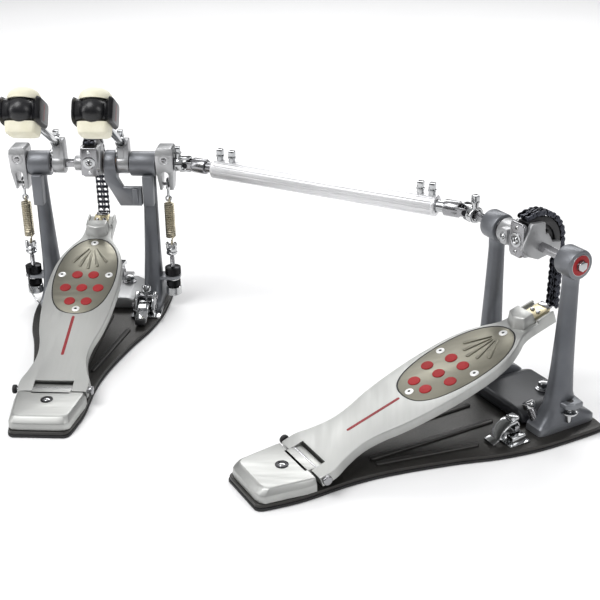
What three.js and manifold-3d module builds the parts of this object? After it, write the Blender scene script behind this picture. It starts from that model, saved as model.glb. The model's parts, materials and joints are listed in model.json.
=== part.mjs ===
// A double bass drum pedal: a main pedal with two beaters, a telescoping drive shaft with two
// universal joints, and a slave pedal. Millimetres, +Z up, +Y towards the drum, +X to the right.
// The origin is on the floor under the middle of the main pedal's hinge pin.
import * as THREE from "three";
import { mergeVertices } from "three/addons/utils/BufferGeometryUtils.js";
import Module from "manifold-3d";

const wasm = await Module();
wasm.setup();

// ---- driving dimensions ----
const GAP = 0.3; // clearance between touching pieces
const PI = Math.PI;
const AXLE_Y = 247.9; // axle ahead of the hinge pin
const AXLE_Z = 176.3; // axle above the floor
const HINGE_Z = 16.9; // hinge pin above the floor
const BOARD_PITCH = THREE.MathUtils.degToRad(17.3); // slope of the footboard at rest
const SLAVE_AT = [260.4, -118.4]; // floor point under the slave's hinge pin
const SLAVE_YAW = THREE.MathUtils.degToRad(-57.5);
const MAIN_JOINT_X = 110.1; // universal joint centre on the main axle line
const SLAVE_JOINT_X = -101.4; // universal joint centre on the slave axle line
const HEX_R = 5.2; // hex axle, centre to corner
const BORE_R = HEX_R + 0.4; // bore of a piece on the axle
const BASE_TOP = 6; // base plate with its rubber mat, floor to top
const HEEL_Y = -66; // heel edge of the base plate
const BASE_FRONT_Y = 290;
const FOOT_BACK = AXLE_Y - 30; // feet of the posts and the front casting
const FOOT_FRONT = AXLE_Y + 38;
const BOARD_TOP = 3; // board surface above the hinge axis, square to the board
const BOARD_BOTTOM = -7;
const TOE_S = 282; // toe end of the board, along the board from the hinge
const PLATE_POCKET = 1.8; // depth of the recess for the traction plate
const KNUCKLE_R = 5.6;
const KNUCKLE_X = 20.1; // half width of the heel plate's knuckle
const PIN_R = 2.5;
const HOUSING_R = 14.25; // bearing housing
const WHEEL_R = 27.5; // cam wheel under the chain
const CHAIN_IN = WHEEL_R + 0.7;
const CHAIN_OUT = 34;
const CHAIN_W = 14.5;
const CHAIN_WRAP = 2.05; // angle of the chain's end on the wheel, from straight ahead, in radians
const CHAIN_END_Z = 100; // lower end of the hanging chain
const SPRING_X = 84.5;
const HOOK_PIN_R = 24; // rocker pin below the axle
const SWIVEL_Z = 64; // pivot of the spring swivel
const COIL_LOW = 84;
const COIL_HIGH = 131;
const COIL_R = 6;
const SHAFT_SEAT = 22; // where the beater shaft meets its hub, above the axle
const BEATER_LEN = 135; // shaft seat to head centre
const SHAFT_R = 4; // beater shaft
const BEATER_LEAN = THREE.MathUtils.degToRad(59.5);
const BEATER_X = [-39, 35.3]; // left and right beater
const CORE_HALF = 14; // half depth of the beater's core
const TUBE_R = 11; // drive tube
const TUBE_FROM = 35; // tube start, from the main universal joint
const TUBE_LEN = 271;
const ROD_R = 6; // inner drive rod
const YOKE_R = 8.5;
const YOKE_FRONT = 10; // collar's front end, behind the universal joint's centre
const ROD_YOKE_COLLAR = 14; // stops against the tube when the rod slides fully in
const EAR_IN = 5.4; // yoke's ears, from the shaft line
const EAR_OUT = 8.2;
const EAR_R = 4.2; // rounded tips of the yokes' ears
const CROSS_PIN_R = 1.8; // pins of the universal joints
const CROSS_HOLE_R = 2.6; // holes for them, with play for the joint's uneven turning

// ---- materials ----
function finish(color, roughness, metalness) {
  return new THREE.MeshStandardMaterial({ color, roughness, metalness });
}
const MATERIALS = {
  board: finish(0xd6d8da, 0.32, 0.9),
  casting: finish(0x6d7278, 0.5, 0.5),
  light_casting: finish(0xa9adb1, 0.45, 0.6),
  base: finish(0x3a3b3d, 0.55, 0.4),
  chrome: finish(0xd9dbde, 0.15, 1),
  plate: finish(0x8f8c80, 0.4, 0.8),
  chain: finish(0x2a2b2e, 0.35, 0.9),
  wheel: finish(0x1b1c1e, 0.5, 0),
  felt: finish(0xefe8cf, 0.7, 0),
  core: finish(0x141416, 0.4, 0),
  brass: finish(0xc9b98a, 0.4, 0.8),
  tube: finish(0xe6e7e9, 0.35, 0.7),
  spring: finish(0xb8b09a, 0.35, 0.9),
};

// ---- solid helpers ----
// A three.js geometry as a closed solid.
function solid(geometry) {
  const bare = geometry.clone();
  bare.deleteAttribute("normal");
  bare.deleteAttribute("uv");
  const merged = mergeVertices(bare, 1e-4);
  const mesh = new wasm.Mesh({
    numProp: 3,
    vertProperties: new Float32Array(merged.attributes.position.array),
    triVerts: new Uint32Array(merged.index.array),
  });
  return new wasm.Manifold(mesh);
}

// A solid back as a three.js geometry with flat shading.
function geometryOf(body) {
  const m = body.getMesh();
  const geometry = new THREE.BufferGeometry();
  const points = new Float32Array(m.numVert * 3);
  for (let i = 0; i < m.numVert; i++) {
    points.set(m.vertProperties.subarray(i * m.numProp, i * m.numProp + 3), i * 3);
  }
  geometry.setAttribute("position", new THREE.BufferAttribute(points, 3));
  geometry.setIndex(new THREE.BufferAttribute(new Uint32Array(m.triVerts), 1));
  geometry.computeVertexNormals();
  return geometry;
}

function block(x0, x1, y0, y1, z0, z1) {
  const g = new THREE.BoxGeometry(x1 - x0, y1 - y0, z1 - z0);
  g.translate((x0 + x1) / 2, (y0 + y1) / 2, (z0 + z1) / 2);
  return solid(g);
}

// A round bar from a to b; sides 6 makes a hex bar.
function bar(radius, a, b, sides = 16) {
  const from = new THREE.Vector3(...a);
  const to = new THREE.Vector3(...b);
  const along = to.clone().sub(from);
  const g = new THREE.CylinderGeometry(radius, radius, along.length(), sides);
  const turn = new THREE.Quaternion().setFromUnitVectors(new THREE.Vector3(0, 1, 0), along.normalize());
  g.applyQuaternion(turn);
  g.translate(...from.add(to).multiplyScalar(0.5).toArray());
  return solid(g);
}

// An outline in plane coordinates, extruded by depth; place maps (u, v, w) onto the axes.
function prism(points, depth, matrix) {
  const given = points instanceof THREE.Shape;
  const shape = given ? points : new THREE.Shape(points.map((p) => new THREE.Vector2(...p)));
  const g = new THREE.ExtrudeGeometry(shape, { depth, bevelEnabled: false, curveSegments: 10 });
  g.applyMatrix4(matrix);
  return solid(g);
}

// Outline in (y, z), extruded along +X from x0 to x1.
function prismX(points, x0, x1) {
  const m = new THREE.Matrix4().makeBasis(
    new THREE.Vector3(0, 1, 0),
    new THREE.Vector3(0, 0, 1),
    new THREE.Vector3(1, 0, 0),
  );
  m.setPosition(x0, 0, 0);
  return prism(points, x1 - x0, m);
}

// Outline in (x, y), extruded along +Z from z0 to z1.
function prismZ(points, z0, z1) {
  return prism(points, z1 - z0, new THREE.Matrix4().makeTranslation(0, 0, z0));
}

// Outline in (x, z), extruded along Y from y0 to y1.
function prismY(points, y0, y1) {
  const m = new THREE.Matrix4().makeBasis(
    new THREE.Vector3(1, 0, 0),
    new THREE.Vector3(0, 0, 1),
    new THREE.Vector3(0, -1, 0),
  );
  m.setPosition(0, y1, 0);
  return prism(points, y1 - y0, m);
}

// A closed body through elliptical sections: each is [x, y, z, half x, half y].
function column(sections, sides = 16) {
  const points = [];
  const faces = [];
  for (const [x, y, z, hx, hy] of sections) {
    for (let i = 0; i < sides; i++) {
      const a = (2 * PI * i) / sides;
      points.push(x + hx * Math.cos(a), y + hy * Math.sin(a), z);
    }
  }
  for (let k = 0; k + 1 < sections.length; k++) {
    for (let i = 0; i < sides; i++) {
      const j = (i + 1) % sides;
      const low = k * sides;
      const high = low + sides;
      faces.push(low + i, low + j, high + j, low + i, high + j, high + i);
    }
  }
  const top = (sections.length - 1) * sides;
  for (let i = 1; i + 1 < sides; i++) {
    faces.push(0, i + 1, i, top, top + i, top + i + 1);
  }
  const g = new THREE.BufferGeometry();
  g.setAttribute("position", new THREE.BufferAttribute(new Float32Array(points), 3));
  g.setIndex(faces);
  return solid(g);
}

function turned(profile, sides = 20) {
  return new THREE.LatheGeometry(
    profile.map((p) => new THREE.Vector2(...p)),
    sides,
  );
}

function union(...bodies) {
  return bodies.reduce((a, b) => a.add(b));
}

function piece(name, body, material) {
  const made = new THREE.Mesh(geometryOf(body), MATERIALS[material]);
  made.name = name;
  return made;
}

// An outline mirrored about x = 0 from [half width, y] stations.
function mirrored(stations) {
  const right = stations.map(([h, y]) => [h, y]);
  const left = stations.map(([h, y]) => [-h, y]).reverse();
  return [...right, ...left];
}

// The same, with a smooth curve through the stations.
function smoothOutline(stations, steps) {
  const curve = new THREE.SplineCurve(stations.map(([h, y]) => new THREE.Vector2(h, y)));
  return mirrored(curve.getPoints(steps).map((p) => [p.x, p.y]));
}

// ---- base and heel ----
function basePlate(prefix) {
  const stations = [
    [28, HEEL_Y],
    [32, HEEL_Y + 6],
    [37, -30],
    [37.5, 40],
    [44, 75],
    [60, 138],
    [72, 175],
    [78, 210],
    [80, 240],
    [80, BASE_FRONT_Y - 8],
    [72, BASE_FRONT_Y],
  ];
  let plate = prismZ(mirrored(stations), 0, BASE_TOP);
  // Three long stiffening ribs stand on the plate.
  for (const x of [-24, 0, 24]) {
    plate = plate.add(block(x - 3, x + 3, 40, 190, BASE_TOP - 1, BASE_TOP + 1.8));
  }
  return piece(prefix + "base_plate", plate, "base");
}

function heelPlate(prefix) {
  const plan = mirrored([
    [27, -62],
    [31, -58],
    [36, -14],
    [36, -KNUCKLE_R - 2.4],
    [KNUCKLE_X - GAP, -KNUCKLE_R - 2.4],
    [KNUCKLE_X - GAP, -0.5],
  ]);
  const body = prismZ(plan, BASE_TOP + GAP, HINGE_Z + 2.2);
  const knuckle = bar(KNUCKLE_R, [-KNUCKLE_X + GAP, 0, HINGE_Z], [KNUCKLE_X - GAP, 0, HINGE_Z]);
  const bore = bar(PIN_R + GAP, [-50, 0, HINGE_Z], [50, 0, HINGE_Z]);
  const screw = bar(5, [0, -21, HINGE_Z + 2], [0, -21, HINGE_Z + 3.6]);
  return piece(prefix + "heel_plate", union(body, knuckle, screw).subtract(bore), "board");
}

function hingePin(prefix) {
  const pin = bar(PIN_R, [-39, 0, HINGE_Z], [39, 0, HINGE_Z]);
  const headLow = bar(4.4, [-41, 0, HINGE_Z], [-38.6, 0, HINGE_Z]);
  const headHigh = bar(4.4, [38.6, 0, HINGE_Z], [41, 0, HINGE_Z]);
  return piece(prefix + "hinge_pin", union(pin, headLow, headHigh), "chrome");
}

// ---- footboard, in board coordinates: x across, y along the board, z square to it ----
function plateStations(grow) {
  return [
    [2, 111 - grow],
    [18 + grow, 117 - grow],
    [27 + grow, 131],
    [32.5 + grow, 152],
    [34.5 + grow, 175],
    [31.5 + grow, 202],
    [20 + grow, 229],
    [10 + grow, 237 + grow],
    [2, 239 + grow],
  ];
}

function footboard(prefix) {
  const outline = smoothOutline(
    [
      [36, 10],
      [33, 16],
      [26.8, 40],
      [26.5, 55],
      [33.5, 85],
      [39, 133],
      [40, 175],
      [33.5, 209],
      [20.5, 236],
      [15.5, 248],
      [14.5, 262],
      [14.5, TOE_S],
    ],
    20,
  );
  let body = prismZ(outline, BOARD_BOTTOM, BOARD_TOP);
  // Ears on both sides of the heel plate's knuckle.
  for (const side of [-1, 1]) {
    const inner = side * (KNUCKLE_X + GAP);
    const outer = side * 36;
    const low = Math.min(inner, outer);
    const high = Math.max(inner, outer);
    body = body.add(block(low, high, 0, 12, -KNUCKLE_R + 1, BOARD_TOP));
    body = body.add(bar(KNUCKLE_R, [low, 0, 0], [high, 0, 0]));
  }
  body = body.subtract(block(-KNUCKLE_X, KNUCKLE_X, 9, 10.2, -20, 20));
  body = body.subtract(bar(PIN_R + GAP, [-50, 0, 0], [50, 0, 0]));
  const pocket = smoothOutline(plateStations(0.5), 16);
  body = body.subtract(prismZ(pocket, BOARD_TOP - PLATE_POCKET, BOARD_TOP + 5));
  // Hollow underside between the side rails.
  const hollow = smoothOutline(
    [
      [20, 60],
      [29, 110],
      [33, 160],
      [26, 208],
      [12, 236],
    ],
    12,
  );
  body = body.subtract(prismZ(hollow, BOARD_BOTTOM - 1, -3));
  // Sloped block at the toe, with a cheek on its right.
  const wedge = [
    [240, BOARD_TOP - 1],
    [266, BOARD_TOP - 1],
    [266, BOARD_TOP + 9],
    [258, BOARD_TOP + 11],
    [250, BOARD_TOP + 9],
  ];
  body = body.add(prismX(wedge, -14.5, 12));
  return piece(prefix + "footboard", body, "board");
}

function tractionPlate(prefix) {
  const low = BOARD_TOP - PLATE_POCKET + GAP;
  let plate = prismZ(smoothOutline(plateStations(0), 16), low, BOARD_TOP + 0.3);
  // Seven round grip studs stand on it.
  const rows = [
    [130.2, [-9.15, 9.15]],
    [152.4, [-18.3, 0, 18.3]],
    [174.5, [-9.15, 9.15]],
  ];
  for (const [y, columns] of rows) {
    for (const x of columns) {
      plate = plate.add(bar(6.1, [x, y, BOARD_TOP - 0.5], [x, y, BOARD_TOP + 1.3], 10));
    }
  }
  return piece(prefix + "traction_plate", plate, "plate");
}

function chainClamp(prefix) {
  const tab = block(-7.5, 7.5, 267, TOE_S + 4.5, BOARD_TOP + GAP, BOARD_TOP + 3.5);
  const bolt = bar(3.6, [0, 273.5, BOARD_TOP + 3], [0, 273.5, BOARD_TOP + 6], 12);
  return piece(prefix + "chain_clamp", union(tab, bolt), "brass");
}

function boardGroup(prefix) {
  const group = new THREE.Group();
  group.position.set(0, 0, HINGE_Z);
  group.rotation.x = BOARD_PITCH;
  group.add(footboard(prefix), tractionPlate(prefix), chainClamp(prefix));
  return group;
}

// ---- frame ----
// side is -1 or 1; housing is its two x ends; top and foot are the column's x centres.
function post(prefix, name, side, housing, top, foot, extras) {
  const columnBody = column([
    [foot, AXLE_Y, BASE_TOP + GAP, 11.5, 13],
    [foot + (top - foot) * 0.35, AXLE_Y, 60, 9.6, 10.4],
    [top, AXLE_Y, AXLE_Z - 8, 7.6, 8.6],
  ]);
  const round = bar(HOUSING_R, [housing[0], AXLE_Y, AXLE_Z], [housing[1], AXLE_Y, AXLE_Z], 24);
  const inner = foot - side * 11;
  const outer = foot + side * 12.5;
  const shoe = block(
    Math.min(inner, outer),
    Math.max(inner, outer),
    FOOT_BACK,
    FOOT_FRONT,
    BASE_TOP + GAP,
    BASE_TOP + 8,
  );
  const buttress = prismX(
    [
      [FOOT_BACK, BASE_TOP + 7],
      [FOOT_FRONT, BASE_TOP + 7],
      [AXLE_Y, BASE_TOP + 32],
    ],
    foot - 4,
    foot + 4,
  );
  const body = union(columnBody, round, shoe, buttress, ...extras);
  const bore = bar(BORE_R, [-200, AXLE_Y, AXLE_Z], [200, AXLE_Y, AXLE_Z], 18);
  return piece(prefix + name, body.subtract(bore), "casting");
}

const LUG_Z = [34.5, 38.5]; // spring lug, bottom and top
const LUG_END_X = 95;

// The arm that holds the tension bolt beside a main post.
function springLug(side, foot) {
  const low = Math.min(side * foot, side * LUG_END_X);
  const high = Math.max(side * foot, side * LUG_END_X);
  const arm = block(low, high, AXLE_Y - 9, AXLE_Y + 9, ...LUG_Z);
  const hole = bar(3, [side * SPRING_X, AXLE_Y, 20], [side * SPRING_X, AXLE_Y, 60], 12);
  return { arm, hole };
}

function mainPosts() {
  const left = springLug(-1, 61.5);
  const right = springLug(1, 61.5);
  const leftPad = block(-72, -60, AXLE_Y - 17, AXLE_Y - 6, AXLE_Z - 46, AXLE_Z - 11);
  const rightPad = block(56, 68, AXLE_Y - 17, AXLE_Y - 6, AXLE_Z - 46, AXLE_Z - 11);
  const leftPost = post("main_", "left_post", -1, [-74.7, -48.9], -64, -61, [left.arm, leftPad]);
  const rightPost = post("main_", "right_post", 1, [43.3, 73.1], 64, 61, [right.arm, rightPad]);
  leftPost.geometry = geometryOf(solid(leftPost.geometry).subtract(left.hole));
  rightPost.geometry = geometryOf(solid(rightPost.geometry).subtract(right.hole));
  return [leftPost, rightPost];
}

function slavePosts() {
  return [
    post("slave_", "left_post", -1, [-63.3, -43.1], -52, -52, []),
    post("slave_", "right_post", 1, [44.4, 64.7], 54, 54, [
      block(60, 76, AXLE_Y - 2, AXLE_Y + 16, LUG_Z[0], LUG_Z[1]),
    ]),
  ];
}

// The arm from the right post's pad to the ring round the middle of the axle.
function centreBracket() {
  const beam = block(38, 56 - GAP, AXLE_Y - 18, AXLE_Y - 6, AXLE_Z - 46, AXLE_Z - 22);
  const arm = prismY(
    [
      [44, AXLE_Z - 46],
      [44, AXLE_Z - 24],
      [27.5, AXLE_Z - 4],
      [14.5, AXLE_Z - 4],
      [14.5, AXLE_Z - 18],
      [32, AXLE_Z - 46],
    ],
    AXLE_Y - 14,
    AXLE_Y + 2,
  );
  const ring = bar(15.5, [14.5, AXLE_Y, AXLE_Z], [27.5, AXLE_Y, AXLE_Z], 24);
  const bore = bar(9.5, [10, AXLE_Y, AXLE_Z], [28, AXLE_Y, AXLE_Z], 18);
  // The right beater's hub turns beside the ring.
  const hubRoom = bar(13.5, [28, AXLE_Y, AXLE_Z], [43, AXLE_Y, AXLE_Z], 18);
  return piece("main_centre_bracket", union(beam, arm, ring).subtract(bore).subtract(hubRoom), "casting");
}

function centreBush() {
  const outer = bar(9.5 - GAP, [14.8, AXLE_Y, AXLE_Z], [27.2, AXLE_Y, AXLE_Z], 18);
  const bore = bar(BORE_R, [0, AXLE_Y, AXLE_Z], [40, AXLE_Y, AXLE_Z], 18);
  return piece("main_centre_bush", outer.subtract(bore), "brass");
}

const JAW_PIVOT = [FOOT_FRONT + 1, 26]; // y and z of the hoop clamp's pin
const CLAMP_PIN_R = 2.2;

function frontCasting(prefix, half, boltX, hasClamp) {
  const arch = [
    [-half, BASE_TOP + GAP],
    [half, BASE_TOP + GAP],
    [half, BASE_TOP + 8],
    [half - 12, BASE_TOP + 14],
    [-half + 12, BASE_TOP + 14],
    [-half, BASE_TOP + 8],
  ];
  let body = prismY(arch, FOOT_BACK, FOOT_FRONT);
  const boltY = FOOT_FRONT - 19;
  const washer = bar(8, [boltX, boltY, BASE_TOP + 13], [boltX, boltY, BASE_TOP + 15.4]);
  const head = bar(5.8, [boltX, boltY, BASE_TOP + 15], [boltX, boltY, BASE_TOP + 21], 6);
  body = union(body, washer, head);
  if (hasClamp) {
    body = body.add(block(-22, 22, FOOT_FRONT - 5, FOOT_FRONT + 36, BASE_TOP + GAP, BASE_TOP + 4));
    for (const side of [-1, 1]) {
      const ear = block(side * 15.5 - 2, side * 15.5 + 2, FOOT_FRONT - 5, FOOT_FRONT + 6, BASE_TOP + 3, 31);
      body = body.add(ear);
    }
    body = body.add(bar(CLAMP_PIN_R, [-17, ...JAW_PIVOT], [17, ...JAW_PIVOT], 14));
  }
  return piece(prefix + "front_casting", body, hasClamp ? "light_casting" : "casting");
}

function hoopClampJaw() {
  const [y, z] = JAW_PIVOT;
  const side = [
    [y - 5, z - 3],
    [y + 12, z - 3.5],
    [y + 30, z - 3.5],
    [y + 34, z - 6],
    [y + 36, z - 4],
    [y + 32, z + 1],
    [y + 4, z + 4],
    [y - 5, z + 4],
  ];
  const body = prismX(side, -13, 13);
  const bore = bar(CLAMP_PIN_R + GAP, [-30, y, z], [30, y, z], 12);
  return piece("hoop_clamp_jaw", body.subtract(bore), "chrome");
}

const LEVER_PIVOT = [AXLE_Y - 44, 16]; // y and z of the clamp lever's pin

function clampLever() {
  const [y, z] = LEVER_PIVOT;
  const cam = bar(7, [50, y, z], [64, y, z], 16);
  const handle = prismX(
    [
      [y, z - 3],
      [y, z + 4],
      [y - 30, z + 1],
      [y - 36, z - 3],
      [y - 34, z - 6],
    ],
    52,
    62,
  );
  const bore = bar(CLAMP_PIN_R + GAP, [40, y, z], [70, y, z], 12);
  return piece("clamp_lever", union(cam, handle).subtract(bore), "chrome");
}

function clampBlock() {
  const [y, z] = LEVER_PIVOT;
  const foot = block(45, 72, y - 8, y + 12, BASE_TOP + GAP, BASE_TOP + 2.4);
  const inner = block(45, 49.5, y - 8, y + 12, BASE_TOP + 1, z + 7);
  const pin = bar(CLAMP_PIN_R, [47, y, z], [66, y, z], 12);
  return piece("clamp_lever_bracket", union(foot, inner, pin), "chrome");
}

// ---- springs of the main pedal ----
function tensionBolt(name, side) {
  const x = side * SPRING_X;
  const at = (r, z0, z1, sides = 20) => bar(r, [x, AXLE_Y, z0], [x, AXLE_Y, z1], sides);
  const rod = at(2.5, 14, SWIVEL_Z - 2, 12);
  const upperNut = at(9.5, LUG_Z[1] + GAP, LUG_Z[1] + 10.5, 18);
  const lowerNut = at(8.5, 25, LUG_Z[0] - GAP, 18);
  const knob = at(9, 13, 24, 18);
  const stem = at(4, 23, 26, 12);
  return piece(name, union(rod, upperNut, lowerNut, knob, stem), "chrome");
}

function springParts(side) {
  const word = side < 0 ? "left" : "right";
  const x = side * SPRING_X;
  const pinZ = AXLE_Z - HOOK_PIN_R;
  const swivel = union(
    bar(6.6, [x, AXLE_Y, SWIVEL_Z + 0.6], [x, AXLE_Y, SWIVEL_Z + 8], 18),
    bar(4, [x, AXLE_Y, SWIVEL_Z + 7], [x, AXLE_Y, COIL_LOW - GAP], 14),
  );
  const coilProfile = [
    [0, COIL_LOW],
    [4.4, COIL_LOW],
    [COIL_R, COIL_LOW + 5],
    [COIL_R, COIL_HIGH - 5],
    [4.4, COIL_HIGH],
    [0, COIL_HIGH],
  ];
  const coilGeometry = turned(coilProfile, 12);
  coilGeometry.rotateX(PI / 2);
  coilGeometry.translate(x, AXLE_Y, 0);
  const eye = new THREE.TorusGeometry(6.6, 1.2, 6, 16);
  eye.rotateY(PI / 2);
  eye.translate(x, AXLE_Y, pinZ);
  const stem = bar(1.6, [x, AXLE_Y, COIL_HIGH + GAP], [x, AXLE_Y, pinZ - 6.4], 10);
  return [
    piece(word + "_spring_swivel", swivel, "chrome"),
    piece(word + "_spring", solid(coilGeometry), "spring"),
    piece(word + "_spring_hook", solid(eye).add(stem), "chrome"),
  ];
}

// Lever on the axle's end that pulls the spring; its fork carries the hook pin.
function rocker(name, x0, x1) {
  const side = [
    [AXLE_Y - 11, AXLE_Z + 21],
    [AXLE_Y + 11, AXLE_Z + 21],
    [AXLE_Y + 14, AXLE_Z + 14],
    [AXLE_Y + 13, AXLE_Z - 6],
    [AXLE_Y + 7, AXLE_Z - 29],
    [AXLE_Y - 7, AXLE_Z - 29],
    [AXLE_Y - 13, AXLE_Z - 6],
    [AXLE_Y - 14, AXLE_Z + 14],
  ];
  const middle = (x0 + x1) / 2;
  const slot = block(middle - 4.2, middle + 4.2, AXLE_Y - 30, AXLE_Y + 30, AXLE_Z - 40, AXLE_Z - 12);
  const bore = bar(BORE_R, [x0 - 5, AXLE_Y, AXLE_Z], [x1 + 5, AXLE_Y, AXLE_Z], 18);
  const pin = bar(1.8, [x0 + 1, AXLE_Y, AXLE_Z - HOOK_PIN_R], [x1 - 1, AXLE_Y, AXLE_Z - HOOK_PIN_R], 12);
  return piece(name, prismX(side, x0, x1).subtract(slot).subtract(bore).add(pin), "light_casting");
}

// ---- axle line ----
function hexBar(name, x0, x1) {
  return piece(name, bar(HEX_R, [x0, AXLE_Y, AXLE_Z], [x1, AXLE_Y, AXLE_Z], 6), "chrome");
}

// A ring sector in (y, z) about the axle, from angle a0 to a1, measured from straight ahead, upwards.
function sector(inner, outer, a0, a1, steps) {
  const points = [];
  for (let i = 0; i <= steps; i++) {
    const a = a0 + ((a1 - a0) * i) / steps;
    points.push([AXLE_Y + outer * Math.cos(a), AXLE_Z + outer * Math.sin(a)]);
  }
  for (let i = steps; i >= 0; i--) {
    const a = a0 + ((a1 - a0) * i) / steps;
    points.push([AXLE_Y + inner * Math.cos(a), AXLE_Z + inner * Math.sin(a)]);
  }
  return points;
}

function camWheel(prefix) {
  const rim = prismX(sector(19, WHEEL_R, -0.3, CHAIN_WRAP + 0.05, 16), -6.5, 6.5);
  const collar = bar(11, [-6.5, AXLE_Y, AXLE_Z], [6.5, AXLE_Y, AXLE_Z], 18);
  const spokes = [-0.1, 0.95, 1.95].map((a) => {
    const end = [0, AXLE_Y + 22 * Math.cos(a), AXLE_Z + 22 * Math.sin(a)];
    return bar(5, [0, AXLE_Y, AXLE_Z], end, 8);
  });
  const bore = bar(BORE_R, [-20, AXLE_Y, AXLE_Z], [20, AXLE_Y, AXLE_Z], 18);
  return piece(prefix + "cam_wheel", union(rim, collar, ...spokes).subtract(bore), "wheel");
}

function camHub(prefix, x0, x1) {
  const collar = bar(12.5, [x0, AXLE_Y, AXLE_Z], [x1, AXLE_Y, AXLE_Z], 18);
  // Cheeks on both sides of the wheel, joined by a rear block under the chain's end.
  const leftCheek = prismX(
    [
      [AXLE_Y + 12, AXLE_Z],
      [AXLE_Y + 8, AXLE_Z + 22],
      [AXLE_Y - 13, AXLE_Z + 24],
      [AXLE_Y - 18, AXLE_Z + 18],
      [AXLE_Y - 18, AXLE_Z - 9],
      [AXLE_Y, AXLE_Z - 12],
    ],
    x1 - 4,
    x1,
  );
  const rightCheek = prismX(
    [
      [AXLE_Y + 23, AXLE_Z - 9],
      [AXLE_Y + 23, AXLE_Z + 1],
      [AXLE_Y + 8, AXLE_Z + 11],
      [AXLE_Y + 2, AXLE_Z + 24],
      [AXLE_Y - 13, AXLE_Z + 24],
      [AXLE_Y - 18, AXLE_Z + 15],
      [AXLE_Y - 18, AXLE_Z - 9],
      [AXLE_Y, AXLE_Z - 12],
    ],
    -x1,
    -x1 + 6,
  );
  const rear = block(x1 - 4, -x1 + 4, AXLE_Y - 18, AXLE_Y - 11.6, AXLE_Z - 9, AXLE_Z + 4);
  const endPlate = block(-9.5, 9.5, AXLE_Y - 21, AXLE_Y - 17.5, AXLE_Z - 9, AXLE_Z + 24);
  const bore = bar(BORE_R, [x0 - 5, AXLE_Y, AXLE_Z], [-x1 + 9, AXLE_Y, AXLE_Z], 18);
  const body = union(collar, leftCheek, rightCheek, rear, endPlate).subtract(bore);
  return piece(prefix + "cam_hub", body, "light_casting");
}

function chainPieces(prefix) {
  const half = CHAIN_W / 2;
  const wrap = prismX(sector(CHAIN_IN, CHAIN_OUT, 0.06, CHAIN_WRAP, 16), -half, half);
  const run = block(-half, half, AXLE_Y + CHAIN_IN, AXLE_Y + CHAIN_OUT, CHAIN_END_Z, AXLE_Z - 0.5);
  return [piece(prefix + "chain_wrap", wrap, "chain"), piece(prefix + "chain_run", run, "chain")];
}

// ---- beaters: an upright hub on the axle, and a shaft that leans back from its seat ----
function beaterGroup(word, x) {
  const group = new THREE.Group();
  group.position.set(x, AXLE_Y, AXLE_Z);
  const tilt = new THREE.Vector3(0, -Math.sin(BEATER_LEAN), Math.cos(BEATER_LEAN));
  const along = (distance) => [0, tilt.y * distance, SHAFT_SEAT + tilt.z * distance];
  const collar = bar(11.5, [-7, 0, 0], [7, 0, 0], 18);
  const tower = prismX(
    [
      [-9, 0],
      [9, 0],
      [8, 22],
      [5, 30],
      [-6, 30],
      [-9, 22],
    ],
    -6,
    7.5,
  );
  const keyBolt = union(bar(3, [0, 1, 29], [0, 1, 34], 12), bar(3.8, [0, 1, 33], [0, 1, 39], 4));
  const shaftHole = bar(SHAFT_R + GAP, along(-9), along(40), 18);
  const bore = bar(BORE_R, [-20, 0, 0], [20, 0, 0], 18);
  const hub = union(collar, tower, keyBolt).subtract(shaftHole).subtract(bore);
  const arm = new THREE.Group();
  arm.position.z = SHAFT_SEAT;
  arm.rotation.x = BEATER_LEAN;
  const shaft = bar(SHAFT_R, [0, 0, -8], [0, 0, BEATER_LEN - 12], 18);
  const felt = beaterFelt();
  const room = beaterFelt(GAP);
  const coreProfile = [
    [-25, BEATER_LEN - 13],
    [-14, BEATER_LEN - 19],
    [14, BEATER_LEN - 19],
    [25, BEATER_LEN - 11],
    [25, BEATER_LEN + 11],
    [15, BEATER_LEN + 20],
    [-15, BEATER_LEN + 20],
    [-25, BEATER_LEN + 13],
  ];
  const core = prismY(coreProfile, -CORE_HALF, CORE_HALF).subtract(room).subtract(
    bar(SHAFT_R + GAP, [0, 0, BEATER_LEN - 40], [0, 0, BEATER_LEN - 11.5], 18),
  );
  group.add(piece(word + "_beater_hub", hub, "light_casting"));
  arm.add(piece(word + "_beater_shaft", shaft, "chrome"));
  arm.add(piece(word + "_beater_core", core, "core"));
  arm.add(piece(word + "_beater_felt", felt, "felt"));
  group.add(arm);
  return group;
}

// Front dome and rear block in one piece, joined by a web through the core.
function beaterFelt(grow = 0) {
  const low = BEATER_LEN - 8 - grow;
  const high = BEATER_LEN + 8 + grow;
  const web = block(-9 - grow, 9 + grow, -CORE_HALF - 2, CORE_HALF + 2, low, high);
  if (grow > 0) return web;
  const domeProfile = [
    [0, 0],
    [19, 0],
    [18.5, 3],
    [15, 8],
    [8, 11],
    [0, 11.9],
  ];
  const dome = turned(domeProfile, 18);
  dome.translate(0, CORE_HALF + GAP, BEATER_LEN);
  const rear = block(-19, 19, -24.5, -CORE_HALF - GAP, BEATER_LEN - 16, BEATER_LEN + 16);
  const front = solid(dome);
  return union(web, front, rear);
}

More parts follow.
